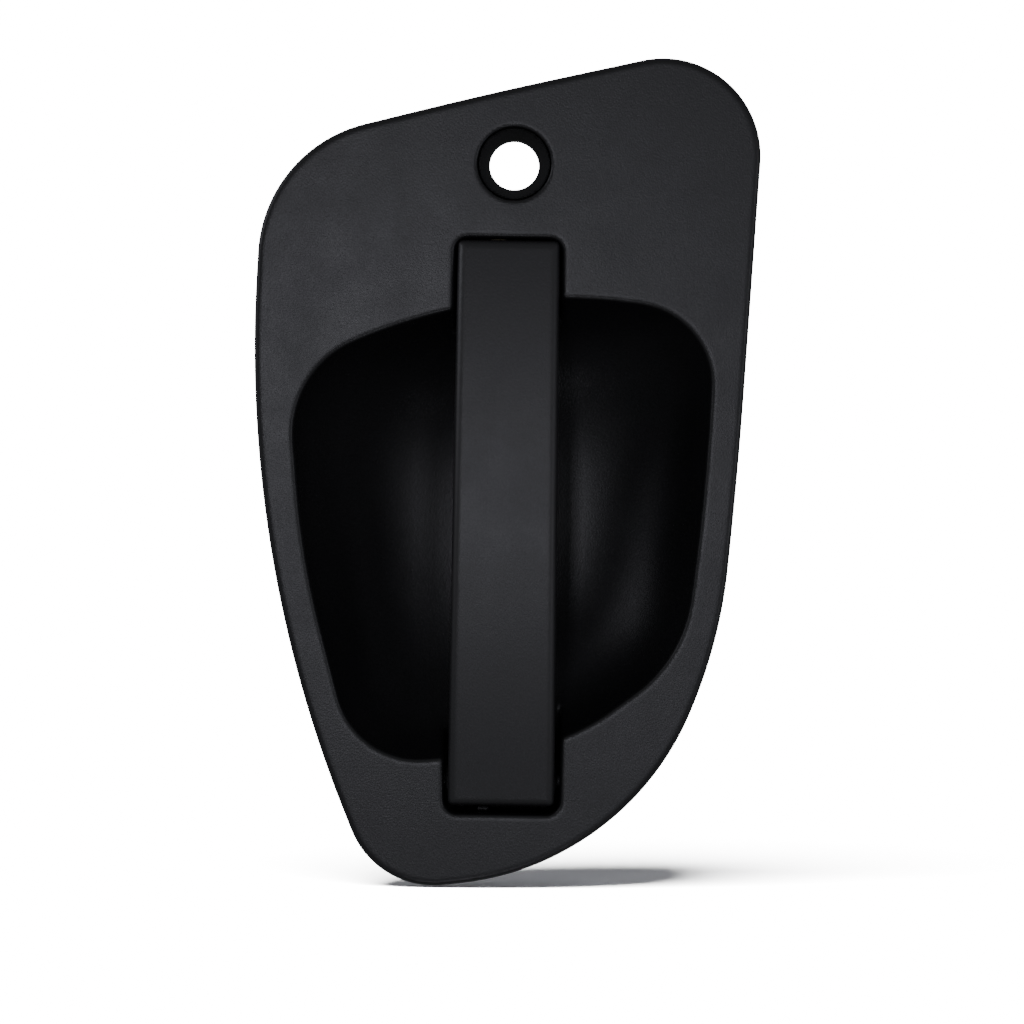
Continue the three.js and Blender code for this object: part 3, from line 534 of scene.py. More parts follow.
@dataclass(frozen=True)
class MouldedBlack(Finish):
    """Satin black plastic with a fine spark grain, slightly uneven in gloss."""

    level: float = 0.008
    gloss: float = 0.37
    grain: float = 0.00007
    mottle: float = 0.12
    tint: tuple[float, float, float] = (0.98, 0.97, 1.06)
    ior: float = 1.49

    def material(self) -> bpy.types.Material:
        """Builds the material."""
        graph = ShaderGraph(self.name)
        cloud = graph.noise(16.0, 4.0, 0.55)
        patch = graph.noise(75.0, 4.0, 0.6, offset=0.2)
        fine = graph.noise(1700.0, 2.0, 0.6, offset=0.3)
        speck = graph.noise(3600.0, 1.0, 0.5, offset=0.9)
        base = graph.blend(cloud, rgb(self.level * 0.8, self.tint), rgb(self.level * 1.2, self.tint))
        colour = graph.blend((fine - 0.4) * 0.8, base, rgb(self.level * 2.0, self.tint))
        uneven = (cloud - 0.5) * 0.5 + (patch - 0.5)
        roughness = (self.gloss + self.mottle * uneven + 0.12 * (speck - 0.5)).clamped(0.1, 0.9)
        normal = graph.bump(fine * 0.6 + speck * 0.4, 1.0, self.grain)
        return graph.dress(Base_Color=colour, Roughness=roughness, Normal=normal, IOR=self.ior)


@dataclass(frozen=True)
class PlatedSteel(Finish):
    """Plated steel: its tone drifts between two colours, with fine drawing marks and handling wear."""

    light: tuple[float, float, float]
    dark: tuple[float, float, float]
    gloss: float = 0.34
    marks: float = 0.00003

    def material(self) -> bpy.types.Material:
        """Builds the material."""
        graph = ShaderGraph(self.name)
        drift = graph.noise(45.0, 3.0, 0.6)
        fine = graph.noise(700.0, 4.0, 0.7, offset=0.4)
        scuff = (graph.noise(160.0, 5.0, 0.75, offset=0.7) * 3.2 - 1.3).clamped()
        base = graph.blend(((drift - 0.5) * 2.4 + 0.5).clamped(), (*self.light, 1.0), (*self.dark, 1.0))
        worn = tuple(0.55 * c + 0.1 for c in self.dark)
        colour = graph.blend(scuff * 0.35, base, (*worn, 1.0))
        roughness = (self.gloss + 0.16 * scuff + 0.16 * (fine - 0.5)).clamped(0.08, 0.9)
        normal = graph.bump(fine + scuff * 0.3, 0.7, self.marks)
        return graph.dress(Base_Color=colour, Roughness=roughness, Normal=normal, Metallic=1.0)


@dataclass(frozen=True)
class PlainPolymer(Finish):
    """Acetal, rubber or foam: one tone with soft clouding and a surface grain of its own size."""

    tone: tuple[float, float, float]
    gloss: float
    grain_scale: float
    grain: float
    cells: bool = False

    def material(self) -> bpy.types.Material:
        """Builds the material."""
        graph = ShaderGraph(self.name)
        cloud = graph.noise(60.0, 3.0)
        if self.cells:
            fine = graph.node(
                "ShaderNodeTexVoronoi", {}, {"Vector": graph.place(), "Scale": self.grain_scale}
            )
        else:
            fine = graph.noise(self.grain_scale, 3.0, 0.65)
        low = tuple(0.84 * c for c in self.tone)
        colour = graph.blend((0.6 * cloud + 0.4 * fine).clamped(), (*low, 1.0), (*self.tone, 1.0))
        roughness = (self.gloss + 0.12 * (cloud - 0.5) + 0.1 * (fine - 0.5)).clamped(0.1, 1.0)
        normal = graph.bump(fine, 0.8, self.grain)
        return graph.dress(Base_Color=colour, Roughness=roughness, Normal=normal, IOR=1.48)


HOUSING_BLACK = MouldedBlack("housing_black", "moulded_black")
# The lock collar is the same moulded black, but this copy has a darker base colour and a weaker reflection:
# painted shade standing in for the shade inside the cone that leads to the lock's bore.
COLLAR_BLACK_PAINTED_SHADE = MouldedBlack("collar_black_painted_shade", "moulded_black", level=0.005, gloss=0.6, ior=1.33)
COVER_BLACK = MouldedBlack("cover_black", "grip_black", level=0.009, gloss=0.46, mottle=0.10, ior=1.62)
CORE_BLACK = MouldedBlack("core_black", "core_black", level=0.012, gloss=0.56, grain=0.0002)
BRIGHT_ZINC = PlatedSteel("bright_zinc", "zinc_steel", (0.70, 0.71, 0.73), (0.52, 0.54, 0.57), 0.3)
YELLOW_ZINC = PlatedSteel("yellow_zinc", "yellow_zinc_steel", (0.72, 0.58, 0.28), (0.58, 0.50, 0.33), 0.36)
SPRING_STEEL = PlatedSteel("spring_steel", "spring_steel", (0.10, 0.10, 0.105), (0.05, 0.05, 0.055), 0.34)
ACETAL = PlainPolymer("acetal", "white_acetal", (0.78, 0.76, 0.69), 0.38, 900.0, 0.00002)
RUBBER = PlainPolymer("rubber", "bumper_rubber", (0.022, 0.022, 0.022), 0.8, 1500.0, 0.00006)
FOAM = PlainPolymer("foam", "gasket_foam", (0.03, 0.03, 0.031), 0.92, 1300.0, 0.0003, cells=True)


# ----------------------------------------------------------------------------------------------------------
# Pieces
# ----------------------------------------------------------------------------------------------------------


class Body(Enum):
    """The moving bodies."""

    HOUSING = "housing_body"
    GRIP = "grip_body"
    CRANK = "crank_body"
    ROD_CLIP = "rod_clip_body"


def put_in_scene(name: str, data: bpy.types.ID) -> bpy.types.Object:
    """Makes an object of a mesh, light or camera and links it to the scene."""
    made = bpy.data.objects.new(name, data)
    bpy.context.scene.collection.objects.link(made)
    return made


class Form(Protocol):
    """A shape that makes its own mesh."""

    def mesh(self, name: str) -> bpy.types.Mesh:
        """Makes the mesh under this name."""


def add_piece(form: Form, name: str, finish: Finish, body: Body | None, *nodes: str) -> bpy.types.Object:
    """Makes a form's mesh and puts it in the scene with its finish, in place of the frame's own nodes.

    Args:
        form: The shape to make.
        name: Name of the piece.
        finish: The finish that it wears.
        body: The body that it moves with, or None to leave it attached to no body.
        nodes: The frame's nodes that it stands for.

    Returns:
        The new object.
    """
    mesh = form.mesh(name)
    piece = put_in_scene(name, mesh)
    mesh.materials.append(finish.made())
    if body:
        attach(piece, body.value)
    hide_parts(*nodes)
    LOG.info("%s: %d faces", piece.name, len(mesh.polygons))
    return piece


@dataclass(frozen=True)
class Axis:
    """A line along x or y, given by its two other coordinates."""

    along: str
    first: float
    second: float

    def split(self, x: Array, y: Array, z: Array) -> tuple[Array, Array, Array]:
        """How far along the line a place lies, and its two offsets from the line."""
        if self.along == "x":
            return x, y - self.first, z - self.second
        return y, x - self.first, z - self.second

    def merge(self, along: Array, u: Array, v: Array) -> Array:
        """Rows of x, y and z for places along the line with these offsets."""
        if self.along == "x":
            return np.stack([along, u + self.first, v + self.second], axis=-1)
        return np.stack([u + self.first, along, v + self.second], axis=-1)

    def rod(
        self, x: Array, y: Array, z: Array, radius: float, start: float, end: float, edge: float = 0.3
    ) -> Array:
        """Signed distance to a round bar on the line, between two places along it."""
        along, u, v = self.split(x, y, z)
        return meet(np.hypot(u, v) - radius, between(along, start, end), edge)


@dataclass(frozen=True)
class Turned:
    """A turned piece: a closed section of (along, radius, corner radius) swung round a line."""

    axis: Axis
    section: tuple[Corner, ...]
    sides: int = 72

    def mesh(self, name: str) -> bpy.types.Mesh:
        """Makes the mesh."""
        along, radius = Outline(self.section).points(0.004).T
        turn = np.linspace(0, math.tau, self.sides, endpoint=False)[:, None]
        rows = self.axis.merge(along + 0 * turn, radius * np.cos(turn), radius * np.sin(turn))
        return grid_mesh(name, rows, closed=True)


def grid_mesh(name: str, rows: Array, closed: bool) -> bpy.types.Mesh:
    """A mesh from rings of points, each ring joined to the next.

    Args:
        name: Name of the mesh.
        rows: Points as rings by places in a ring by x, y and z.
        closed: True to join the last ring to the first, False to close each end ring with its middle point.

    Returns:
        The mesh, its faces facing out.
    """
    rings, count = rows.shape[:2]
    points = rows.reshape(-1, 3)
    i, j = np.meshgrid(np.arange(rings if closed else rings - 1), np.arange(count), indexing="ij")
    ahead, beside = (i + 1) % rings, (j + 1) % count
    quads = np.stack([i * count + j, ahead * count + j, ahead * count + beside, i * count + beside], axis=-1)
    faces = [list(face) for face in quads.reshape(-1, 4)]
    if not closed:
        points = np.concatenate([points, rows[[0, -1]].mean(axis=1)])
        for end, first in ((0, 0), (1, (rings - 1) * count)):
            middle = rings * count + end
            faces += [[middle, first + k, first + (k + 1) % count] for k in range(count)]
    mesh = make_mesh(name, points, faces)
    tidy = bmesh.new()
    tidy.from_mesh(mesh)
    bmesh.ops.remove_doubles(tidy, verts=tidy.verts, dist=0.002 * MM)
    bmesh.ops.dissolve_degenerate(tidy, edges=tidy.edges, dist=0.001 * MM)
    bmesh.ops.recalc_face_normals(tidy, faces=tidy.faces)
    tidy.to_mesh(mesh)
    tidy.free()
    mesh.shade_smooth()
    return mesh


@dataclass(frozen=True)
class Wire:
    """A round wire along a path, its corners softened."""

    path: Array
    radius: float
    sides: int = 14
    softening: int = 2

    def mesh(self, name: str) -> bpy.types.Mesh:
        """Makes the mesh, with rounded ends."""
        path = np.asarray(self.path, float)
        for _ in range(self.softening):
            near, far = path[:-1] * 0.75 + path[1:] * 0.25, path[:-1] * 0.25 + path[1:] * 0.75
            path = np.concatenate([path[:1], np.stack([near, far], 1).reshape(-1, 3), path[-1:]])
        ways = np.gradient(path, axis=0)
        ways /= np.linalg.norm(ways, axis=1, keepdims=True)
        turn = np.linspace(0, math.tau, self.sides, endpoint=False)[:, None]
        side = np.cross(ways[0], (0.0, 0.0, 1.0))
        rings = []
        for spot, way in zip(path, ways):
            side = side - way * (side @ way)
            side /= np.linalg.norm(side)
            across = np.cross(way, side)
            rings.append(spot + self.radius * (np.cos(turn) * side + np.sin(turn) * across))
        for ring, spot, way, at in ((rings[0], path[0], -ways[0], 0), (rings[-1], path[-1], ways[-1], None)):
            cap = [
                spot + (ring - spot) * math.cos(lean) + way * self.radius * 0.4 * math.sin(lean)
                for lean in (0.5, 1.0, 1.4)
            ]
            rings = cap[::-1] + rings if at == 0 else rings + cap
        return grid_mesh(name, np.array(rings), closed=False)


@dataclass(frozen=True)
class TorsionSpring:
    """A torsion spring coiled round a line along x, between the housing and the body that it turns."""

    axis: Axis
    radius: float
    wire: float
    pitch: float
    turns: int
    start: float
    winding: tuple[float, float]
    turned: Body
    steps: int = 30

    def build(self, name: str, node: str, first_leg: list[Corner], last_leg: list[Corner]) -> None:
        """Makes the spring and leaves it fixed in the frame, on neither of its two bodies.

        Args:
            name: Name of the piece.
            node: The frame's node that it stands for.
            first_leg: Places along the housing's leg, from its tip to the coils.
            last_leg: Places along the other leg, from the coils to its tip.
        """
        share = np.arange(self.steps * self.turns + 1) / (self.steps * self.turns)
        turn = math.pi - math.tau * self.turns * share
        along = self.start + self.pitch * self.turns * share
        coil = self.axis.merge(along, self.radius * np.cos(turn), self.radius * np.sin(turn))
        wire = Wire(np.concatenate([first_leg, coil, last_leg]), self.wire / 2)
        spring = add_piece(wire, name, SPRING_STEEL, None, node)
        y, z = self.axis.first, self.axis.second
        start, end = ((at * MM, y * MM, (z + LIFT) * MM) for at in self.winding)
        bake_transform(spring)


@dataclass(frozen=True)
class ThreadedRod:
    """A rod with a screw thread, its ends turned down."""

    axis: Axis
    radius: float
    start: float
    end: float
    pitch: float
    plain_to: float
    depth: float = 0.28
    sides: int = 40

    def mesh(self, name: str) -> bpy.types.Mesh:
        """Makes the mesh."""
        along = np.arange(self.start, self.end + 1e-6, self.pitch / 8)[:, None]
        turn = np.linspace(0, math.tau, self.sides, endpoint=False)[None, :]
        wave = np.abs(((along / self.pitch - turn / math.tau) % 1) * 2 - 1)
        fade = np.clip((along - self.plain_to) / self.pitch, 0, 1)
        groove = self.depth * 2 * np.clip(0.75 - wave, 0, 0.5) * fade
        taper = np.clip(along - (self.end - 1), 0, 1) * 0.7
        radius = self.radius - np.maximum(groove, taper)
        rows = self.axis.merge(along + 0 * turn, radius * np.cos(turn), radius * np.sin(turn))
        return grid_mesh(name, rows, closed=False)


def hexagon(u: Array, v: Array, half_across: float, edge: float = 0.25) -> Array:
    """Signed distance to a hexagon with its flats this far from its middle."""
    shape = None
    for turn in (0.0, math.pi / 3, 2 * math.pi / 3):
        flats = np.abs(u * math.cos(turn) + v * math.sin(turn)) - half_across
        shape = flats if shape is None else meet(shape, flats, edge)
    return shape


def limb(u: Array, v: Array, start: tuple[float, float, float], end: tuple[float, float, float]) -> Array:
    """Signed distance to a tapered limb between two round ends, each (u, v, radius)."""
    du, dv = end[0] - start[0], end[1] - start[1]
    share = np.clip(((u - start[0]) * du + (v - start[1]) * dv) / (du * du + dv * dv), 0, 1)
    reach = np.hypot(u - start[0] - share * du, v - start[1] - share * dv)
    return reach - start[2] - (end[2] - start[2]) * share


def retaining_clip(axis: Axis, start: float, end: float, inner: float, outer: float) -> Shape:
    """A spring clip's shape, open upwards, with three lugs that grip the groove."""

    def shape(x: Array, y: Array, z: Array) -> Array:
        along, u, v = axis.split(x, y, z)
        reach = np.hypot(u, v)
        ring = np.maximum(reach - outer, inner + 0.55 - reach)
        for turn in (-math.pi / 2, math.pi / 6, 5 * math.pi / 6):
            lug = box_distance(
                u * math.cos(turn) + v * math.sin(turn),
                v * math.cos(turn) - u * math.sin(turn),
                (inner, -0.7),
                (outer - 0.6, 0.7),
                0.2,
            )
            ring = join(ring, lug, 0.3)
        mouth = np.maximum(np.abs(u) - inner * 0.8, -v)
        return meet(carve(ring, mouth, 0.25), between(along, start, end), 0.12)

    return shape


# ----------------------------------------------------------------------------------------------------------
# Housing
# ----------------------------------------------------------------------------------------------------------


STUD_PLACES = {
    "upper_left": (-45.0, 72.0),
    "upper_right": (54.0, 98.0),
    "lower_left": (-27.0, -105.5),
    "lower_right": (34.0, -80.0),
}
LOCK_AXIS = Axis("y", 1.25, 90.0)
HINGE_AXIS = Axis("x", 4.0, -90.0)
CRANK_AXIS = Axis("x", 34.0, 36.0)
THROUGH = 30.0  # half the length of a bore that passes right through a piece
HINGE_BOSS_REACH = 24.0
CROSS_PIN_Y = 2.2
BUMPER_X = 10.0
BUMPER_Z = 57.0
BRACKET_SCREW_X = 19.5
BRACKET_SCREW_Z = 44.0


@dataclass
class BowlForm:
    """The hand bowl: its mouth's outline, shrinking and growing rounder as it gets deeper."""

    mouth: Outline = Outline(
        (
            (-63.7, 28.9, 29.1),
            (-4.1, 55.2, 152.2),
            (60.4, 46.4, 23.6),
            (58, -7.4, 682.5),
            (52.1, -53.5, 40),
            (18.5, -78.4, 63.8),
            (-42.2, -86.1, 24.3),
            (-58.6, -25.9, 247.5),
        )
    )
    centre: tuple[float, float] = (0.0, -14.0)
    depth: float = 35.5
    flatness: float = 3.1
    steepness: float = 1.6
    harmonics: int = 40
    fading: float = 0.6
    rounds: int = 8
    front: float = -6.5

    def prepare(self, low: tuple[float, float], high: tuple[float, float], step: float) -> None:
        """Works out how far each place is from the centre to the mouth, and how fast that changes."""
        u, v = (self.mouth.even_points() - self.centre).T
        angle = np.arctan2(v, u) % math.tau
        order = np.argsort(angle)
        even = np.linspace(0, math.tau, 1024, endpoint=False)
        radius = np.interp(even, angle[order], np.hypot(u, v)[order], period=math.tau)
        waves = np.fft.rfft(radius)[: self.harmonics + 1] / len(even)
        waves[1:] *= 2
        self.share = PlanarField.sample(lambda x, z: self._share(x, z, waves), low, high, step)
        slopes = np.gradient(self.share.values, step)
        self.slope = PlanarField(low, step, np.maximum(np.hypot(*slopes), 0.004))

    def _share(self, x: Array, z: Array, waves: Array) -> Array:
        """Distance from the centre as a share of the mouth's, on the outline through each place."""
        u, v = x - self.centre[0], z - self.centre[1]
        reach = np.hypot(u, v)
        turn = np.exp(1j * np.arctan2(v, u))
        share = reach / abs(waves[0])
        for _ in range(self.rounds):
            inner = np.clip(share, 1e-3, 1.0)
            radius = np.full(reach.shape, waves[0].real)
            spin = np.ones(reach.shape, complex)
            for k in range(1, len(waves)):
                spin = spin * turn
                radius = radius + (waves[k] * spin).real * inner ** (self.fading * (k - 1))
            share = reach / radius
        return share

    def distance(self, x: Array, y: Array, z: Array) -> Array:
        """Signed distance to the bowl's surface, negative in the hollow."""
        share = self.share(x, z)
        deep = np.maximum((y - self.front) / self.depth, 0)
        level = share**self.flatness + deep**self.steepness - 1
        across = self.flatness * share ** (self.flatness - 1) * self.slope(x, z)
        down = self.steepness * deep ** (self.steepness - 1) / self.depth
        return level / np.maximum(np.hypot(across, down), 0.004)


@dataclass
class HousingMoulding:
    """The black moulding: flange, bowl, wells, bosses and ribs, with its lock collar and gasket."""

    outline: Outline = Outline(
        (
            (-72, 93.4, 41),
            (-6.6, 110.5, 1400),
            (75.2, 129.3, 28.6),
            (68, 3.8, 1400),
            (63.5, -47, 144),
            (37.5, -113.7, 82),
            (-36, -122.8, 26),
            (-65.4, -52, 362),
            (-74.6, 26.5, 359),
        )
    )
    bowl: BowlForm = field(default_factory=BowlForm)
    front: float = -6.5
    back: float = -3.5
    edge_inset: float = 0.12
    skirt_back: float = -0.6
    skirt_wall: float = 2.2
    shell: float = 2.2
    rim_round: float = 1.5
    lip_round: float = 1.4
    front_wall: float = 1.5
    wells: tuple[Block, Block] = (
        Block((-15.5, -50, 16), (15.5, 10, 68.3), 3.8, 1.5),
        Block((-16.6, -50, -99.3), (17, 12, -50), 4, 1.5),
    )
    well_fillet: float = 1.2
    ribs: tuple[Block, ...] = (
        Block((-46, -5, 89), (52, 1, 91), edge=0.5),
        Block((-17.7, -5, 68.3), (-15.7, 1, 98), edge=0.5),
        Block((15.5, -5, 68.3), (17.5, 1, 98), edge=0.5),
        Block((-18.8, -5, -101.8), (-16.8, 1, -99), edge=0.5),
        Block((17, -5, -101.8), (19, 1, -99), edge=0.5),
    )
    arm_slot: Block = Block((-5.2, 9, 55.1), (-0.8, 13.5, 67.3), 0.8)
    spring_stop: tuple[Block, Block] = (
        Block((-7.4, 7, -101), (-3.4, 13, -95.8), edge=0.4),
        Block((-7.4, 0.3, -97.2), (-3.4, 8, -95.8), edge=0.3),
    )
    stud_boss: float = 5.8
    stud_hole: float = 3.3
    hinge_boss: float = 6.6
    hinge_boss_start: float = 15.0
    bush_hole: float = 4.4
    bracket_boss: float = 4.6
    bracket_hole: float = 1.9
    bumper_hole: float = 2.3
    collar_neck: float = 10.4
    collar_seat: float = 13.0
    collar_bore: float = 7.2
    collar_back: float = 10.0
    cone_back: float = 3.0
    cone_flare: float = 0.35
    gasket_inset: float = 4.6
    gasket_half: float = 2.0
    gap: float = 0.3
    step: float = 0.8

    def prepare(self) -> None:
        """Samples the outlines on a fine grid."""
        low, high, step = (-80.0, -127.0), (80.0, 128.0), 0.5
        self.edge = PlanarField.sample(self.outline.distance, low, high, step)
        self.bowl.prepare(low, high, step)

    def hollow(self, x: Array, y: Array, z: Array) -> Array:
        """Signed distance to the space open to the front: the bowl and both wells."""
        space = self.bowl.distance(x, y, z)
        for well in self.wells:
            space = join(space, well.distance(x, y, z), self.well_fillet)
        return space

    def shape(self, x: Array, y: Array, z: Array) -> Array:
        """Signed distance to the moulding."""
        edge = self.edge(x, z)
        flange = meet(meet(edge + self.edge_inset, self.front - y, self.rim_round), y - self.skirt_back, 0.3)
        recess = meet(edge + self.skirt_wall, self.back - y, 0.4)
        body = carve(flange, recess, 0.3)
        hollow = self.hollow(x, y, z)
        behind_front = self.front + self.front_wall - y
        body = join(body, meet(hollow - self.shell, behind_front), 1.0)
        body = self._with_bosses(body, x, y, z)
        body = carve(body, hollow, self.lip_round)
        neck = LOCK_AXIS.rod(x, y, z, self.collar_neck + self.gap, -9, 20)
        seat = LOCK_AXIS.rod(x, y, z, self.collar_seat + self.gap, self.back, 20)
        body = carve(carve(body, neck, 0.7), seat, 0.2)
        return self._with_holes(body, x, y, z)

    def _with_bosses(self, body: Array, x: Array, y: Array, z: Array) -> Array:
        """The body with its stud, hinge and bracket bosses and its ribs."""
        root = self.front + self.front_wall
        for u, v in STUD_PLACES.values():
            body = join(body, Axis("y", u, v).rod(x, y, z, self.stud_boss, root, -0.4), 0.8)
        hinge = HINGE_AXIS.rod(x, y, z, self.hinge_boss, -HINGE_BOSS_REACH, HINGE_BOSS_REACH)
        body = join(body, meet(hinge, self.hinge_boss_start - np.abs(x)), 0.6)
        for u in (-BRACKET_SCREW_X, BRACKET_SCREW_X):
            body = join(body, Axis("y", u, BRACKET_SCREW_Z).rod(x, y, z, self.bracket_boss, 2, 20.3), 0.8)
        ribs = self.ribs[0].distance(x, y, z)
        for rib in self.ribs[1:]:
            ribs = join(ribs, rib.distance(x, y, z), 0.4)
        return join(body, ribs, 0.5)

    def _with_holes(self, body: Array, x: Array, y: Array, z: Array) -> Array:
        """The body with its slot and holes, and the stop for the return spring's leg."""
        body = carve(body, self.arm_slot.distance(x, y, z), 0.4)
        for u in (-1, 1):
            bumper = Axis("y", u * BUMPER_X, BUMPER_Z).rod(x, y, z, self.bumper_hole, 9, 13.5)
            screw = Axis("y", u * BRACKET_SCREW_X, BRACKET_SCREW_Z).rod(x, y, z, self.bracket_hole, 14.5, 22)
            body = carve(carve(body, bumper, 0.3), screw, 0.3)
        body = carve(body, HINGE_AXIS.rod(x, y, z, self.bush_hole, -26, 26), 0.3)
        for u, v in STUD_PLACES.values():
            body = carve(body, Axis("y", u, v).rod(x, y, z, self.stud_hole, -5.1, 1), 0.2)
        for block in self.spring_stop:
            body = join(body, block.distance(x, y, z), 0.3)
        return body

    def collar(self, x: Array, y: Array, z: Array) -> Array:
        """Signed distance to the lock's collar, with a cone that leads to its bore."""
        neck = LOCK_AXIS.rod(x, y, z, self.collar_neck, self.front + 0.8, 0, 0.1)
        seat = LOCK_AXIS.rod(x, y, z, self.collar_seat, self.back + self.gap, self.collar_back, 0.4)
        along, u, v = LOCK_AXIS.split(x, y, z)
        reach = self.collar_bore + np.maximum(self.cone_back - along, 0) * self.cone_flare
        return carve(join(neck, seat, 0.3), (np.hypot(u, v) - reach) * 0.95, 0.12)

    def gasket(self, x: Array, y: Array, z: Array) -> Array:
        """Signed distance to the foam gasket inside the skirt."""
        strip = np.abs(self.edge(x, z) + self.gasket_inset) - self.gasket_half
        return meet(strip, between(y, self.back + self.gap, 0), 0.5)

    def build(self) -> None:
        """Makes the moulding, its collar and the gasket."""
        self.prepare()
        body = Sculpture(self.shape, (-75, -7, -122), (75, 35, 123), self.step)
        add_piece(body, "housing_moulding", HOUSING_BLACK, Body.HOUSING, "flange_plate", "hand_bowl")
        collar = Sculpture(self.collar, (-12.5, -7, 76), (15, 10.5, 104), 0.4)
        # The collar wears the darker copy of the moulded black, which is painted shade for its shaded cone.
        add_piece(collar, "lock_seat_collar", COLLAR_BLACK_PAINTED_SHADE, Body.HOUSING, "lock_collar")
        gasket = Sculpture(self.gasket, (-73, -4, -120), (73, 0.5, 121), 0.7)
        add_piece(gasket, "foam_gasket", FOAM, Body.HOUSING, "flange_gasket")


# ----------------------------------------------------------------------------------------------------------
# Grip
# ----------------------------------------------------------------------------------------------------------


@dataclass
class GripBar:
    """The bowed grip in its two halves, with their screws."""

    top: float = 67.7
    bottom: float = -96.9
    half_width: float = 15.2
    taper: float = 0.0043
    end_front: float = -7.5
    bow: float = 8.0
    thickness: float = 13.5
    top_back: float = 8.0
    top_blend: float = 36.0
    bottom_back: float = 9.8
    bottom_blend: float = -58.0
    blend_length: float = 16.0
    cover_depth: float = 8.0
    edge_round: float = 2.5
    end_round: float = 1.6
    wall: float = 2.8
    thrust_radius: float = 4.4
    thrust_reach: float = 16.3
    spring_pocket: Block = Block((-8, -4.2, -110), (8, 30, -78), 1.5, 1.0)
    arm_socket: Block = Block((-4.8, -6, 55.6), (-1.2, 20, 64.2), 0.3)
    cross_pin_z: float = 59.88
    cross_pin_bore: float = 2.2
    hinge_bore: float = 2.8
    screw_bore: float = 3.9
    screw_heights: dict[str, float] = field(default_factory=lambda: {"upper": 24.0, "lower": -48.0})
    step: float = 0.7

    def front(self, z: Array) -> Array:
        """The front face's y at a height."""
        half = (self.top - self.bottom) / 2
        radius = (half**2 + self.bow**2) / (2 * self.bow)
        return self.end_front - self.bow + radius - np.sqrt(radius**2 - (z - GRIP_MIDDLE) ** 2)

    def back(self, z: Array) -> Array:
        """The back face's y at a height."""
        bar = self.front(z) + self.thickness
        top = smooth((z - self.top_blend) / self.blend_length)
        bottom = smooth((self.bottom_blend - z) / self.blend_length)
        return bar + (self.top_back - bar) * top + (self.bottom_back - bar) * bottom

    def solid(self, x: Array, y: Array, z: Array) -> Array:
        """Signed distance to the whole grip."""
        z_in = np.clip(z, self.bottom, self.top)
        sides = np.abs(x) - (self.half_width + self.taper * (GRIP_MIDDLE - z_in))
        ends = between(z, self.bottom, self.top)
        faces = np.maximum(self.front(z_in) - y, (y - self.back(z_in)) * 0.95)
        return meet(meet(sides, ends, self.end_round), faces, self.edge_round)

    def parting(self, y: Array, z: Array) -> Array:
        """How far a place lies behind the line where the halves meet."""
        return y - self.front(np.clip(z, self.bottom, self.top)) - self.cover_depth

    def cover(self, x: Array, y: Array, z: Array) -> Array:
        """Signed distance to the outer half."""
        solid = self.solid(x, y, z)
        half = meet(solid, self.parting(y, z), 0.35)
        return carve(carve(half, solid + self.wall, 0.3), self.spring_pocket.distance(x, y, z), 0.3)

    def core(self, x: Array, y: Array, z: Array) -> Array:
        """Signed distance to the inner half."""
        half = meet(self.solid(x, y, z), 0.3 - self.parting(y, z), 0.35)
        thrust = HINGE_AXIS.rod(x, y, z, self.thrust_radius, -self.thrust_reach, self.thrust_reach)
        half = join(half, thrust, 0.2)
        half = carve(half, self.spring_pocket.distance(x, y, z), 0.3)
        half = carve(half, self.arm_socket.distance(x, y, z), 0.3)
        half = carve(half, HINGE_AXIS.rod(x, y, z, self.hinge_bore, -THROUGH, THROUGH), 0.3)
        cross_pin = Axis("x", CROSS_PIN_Y, self.cross_pin_z)
        half = carve(half, cross_pin.rod(x, y, z, self.cross_pin_bore, -THROUGH, 8.3), 0.3)
        for height in self.screw_heights.values():
            seat = float(self.back(np.array(height))) - 2.6
            half = carve(half, Axis("y", 0, height).rod(x, y, z, self.screw_bore, seat, 30), 0.3)
        return half

    def screw(self, x: Array, y: Array, z: Array, height: float) -> Array:
        """Signed distance to one of the screws that hold the halves together."""
        axis = Axis("y", 0, height)
        seat = float(self.back(np.array(height))) - 2.3
        along, u, v = axis.split(x, y, z)
        head = axis.rod(x, y, z, 3.4, seat, seat + 1.8, 0.7)
        shank = axis.rod(x, y, z, 1.5, seat - 8, seat + 1)
        return carve(join(head, shank, 0.2), meet(hexagon(u, v, 1.3, 0.1), seat + 0.7 - along), 0.15)

    def build(self) -> None:
        """Makes both halves and the screws."""
        low, high = (-16.5, -16.5, -98), (16.5, 11, 69)
        cover = Sculpture(self.cover, low, high, self.step)
        add_piece(cover, "grip_outer_half", COVER_BLACK, Body.GRIP, "grip_cover")
        core = Sculpture(self.core, low, high, self.step)
        add_piece(core, "grip_inner_half", CORE_BLACK, Body.GRIP, "grip_core")
        for name, height in self.screw_heights.items():
            sculpture = Sculpture(
                lambda x, y, z, at=height: self.screw(x, y, z, at),
                (-3.8, -11, height - 3.8),
                (3.8, 0, height + 3.8),
                0.25,
            )
            add_piece(sculpture, f"grip_socket_screw_{name}", BRIGHT_ZINC, Body.GRIP, f"grip_screw_{name}")


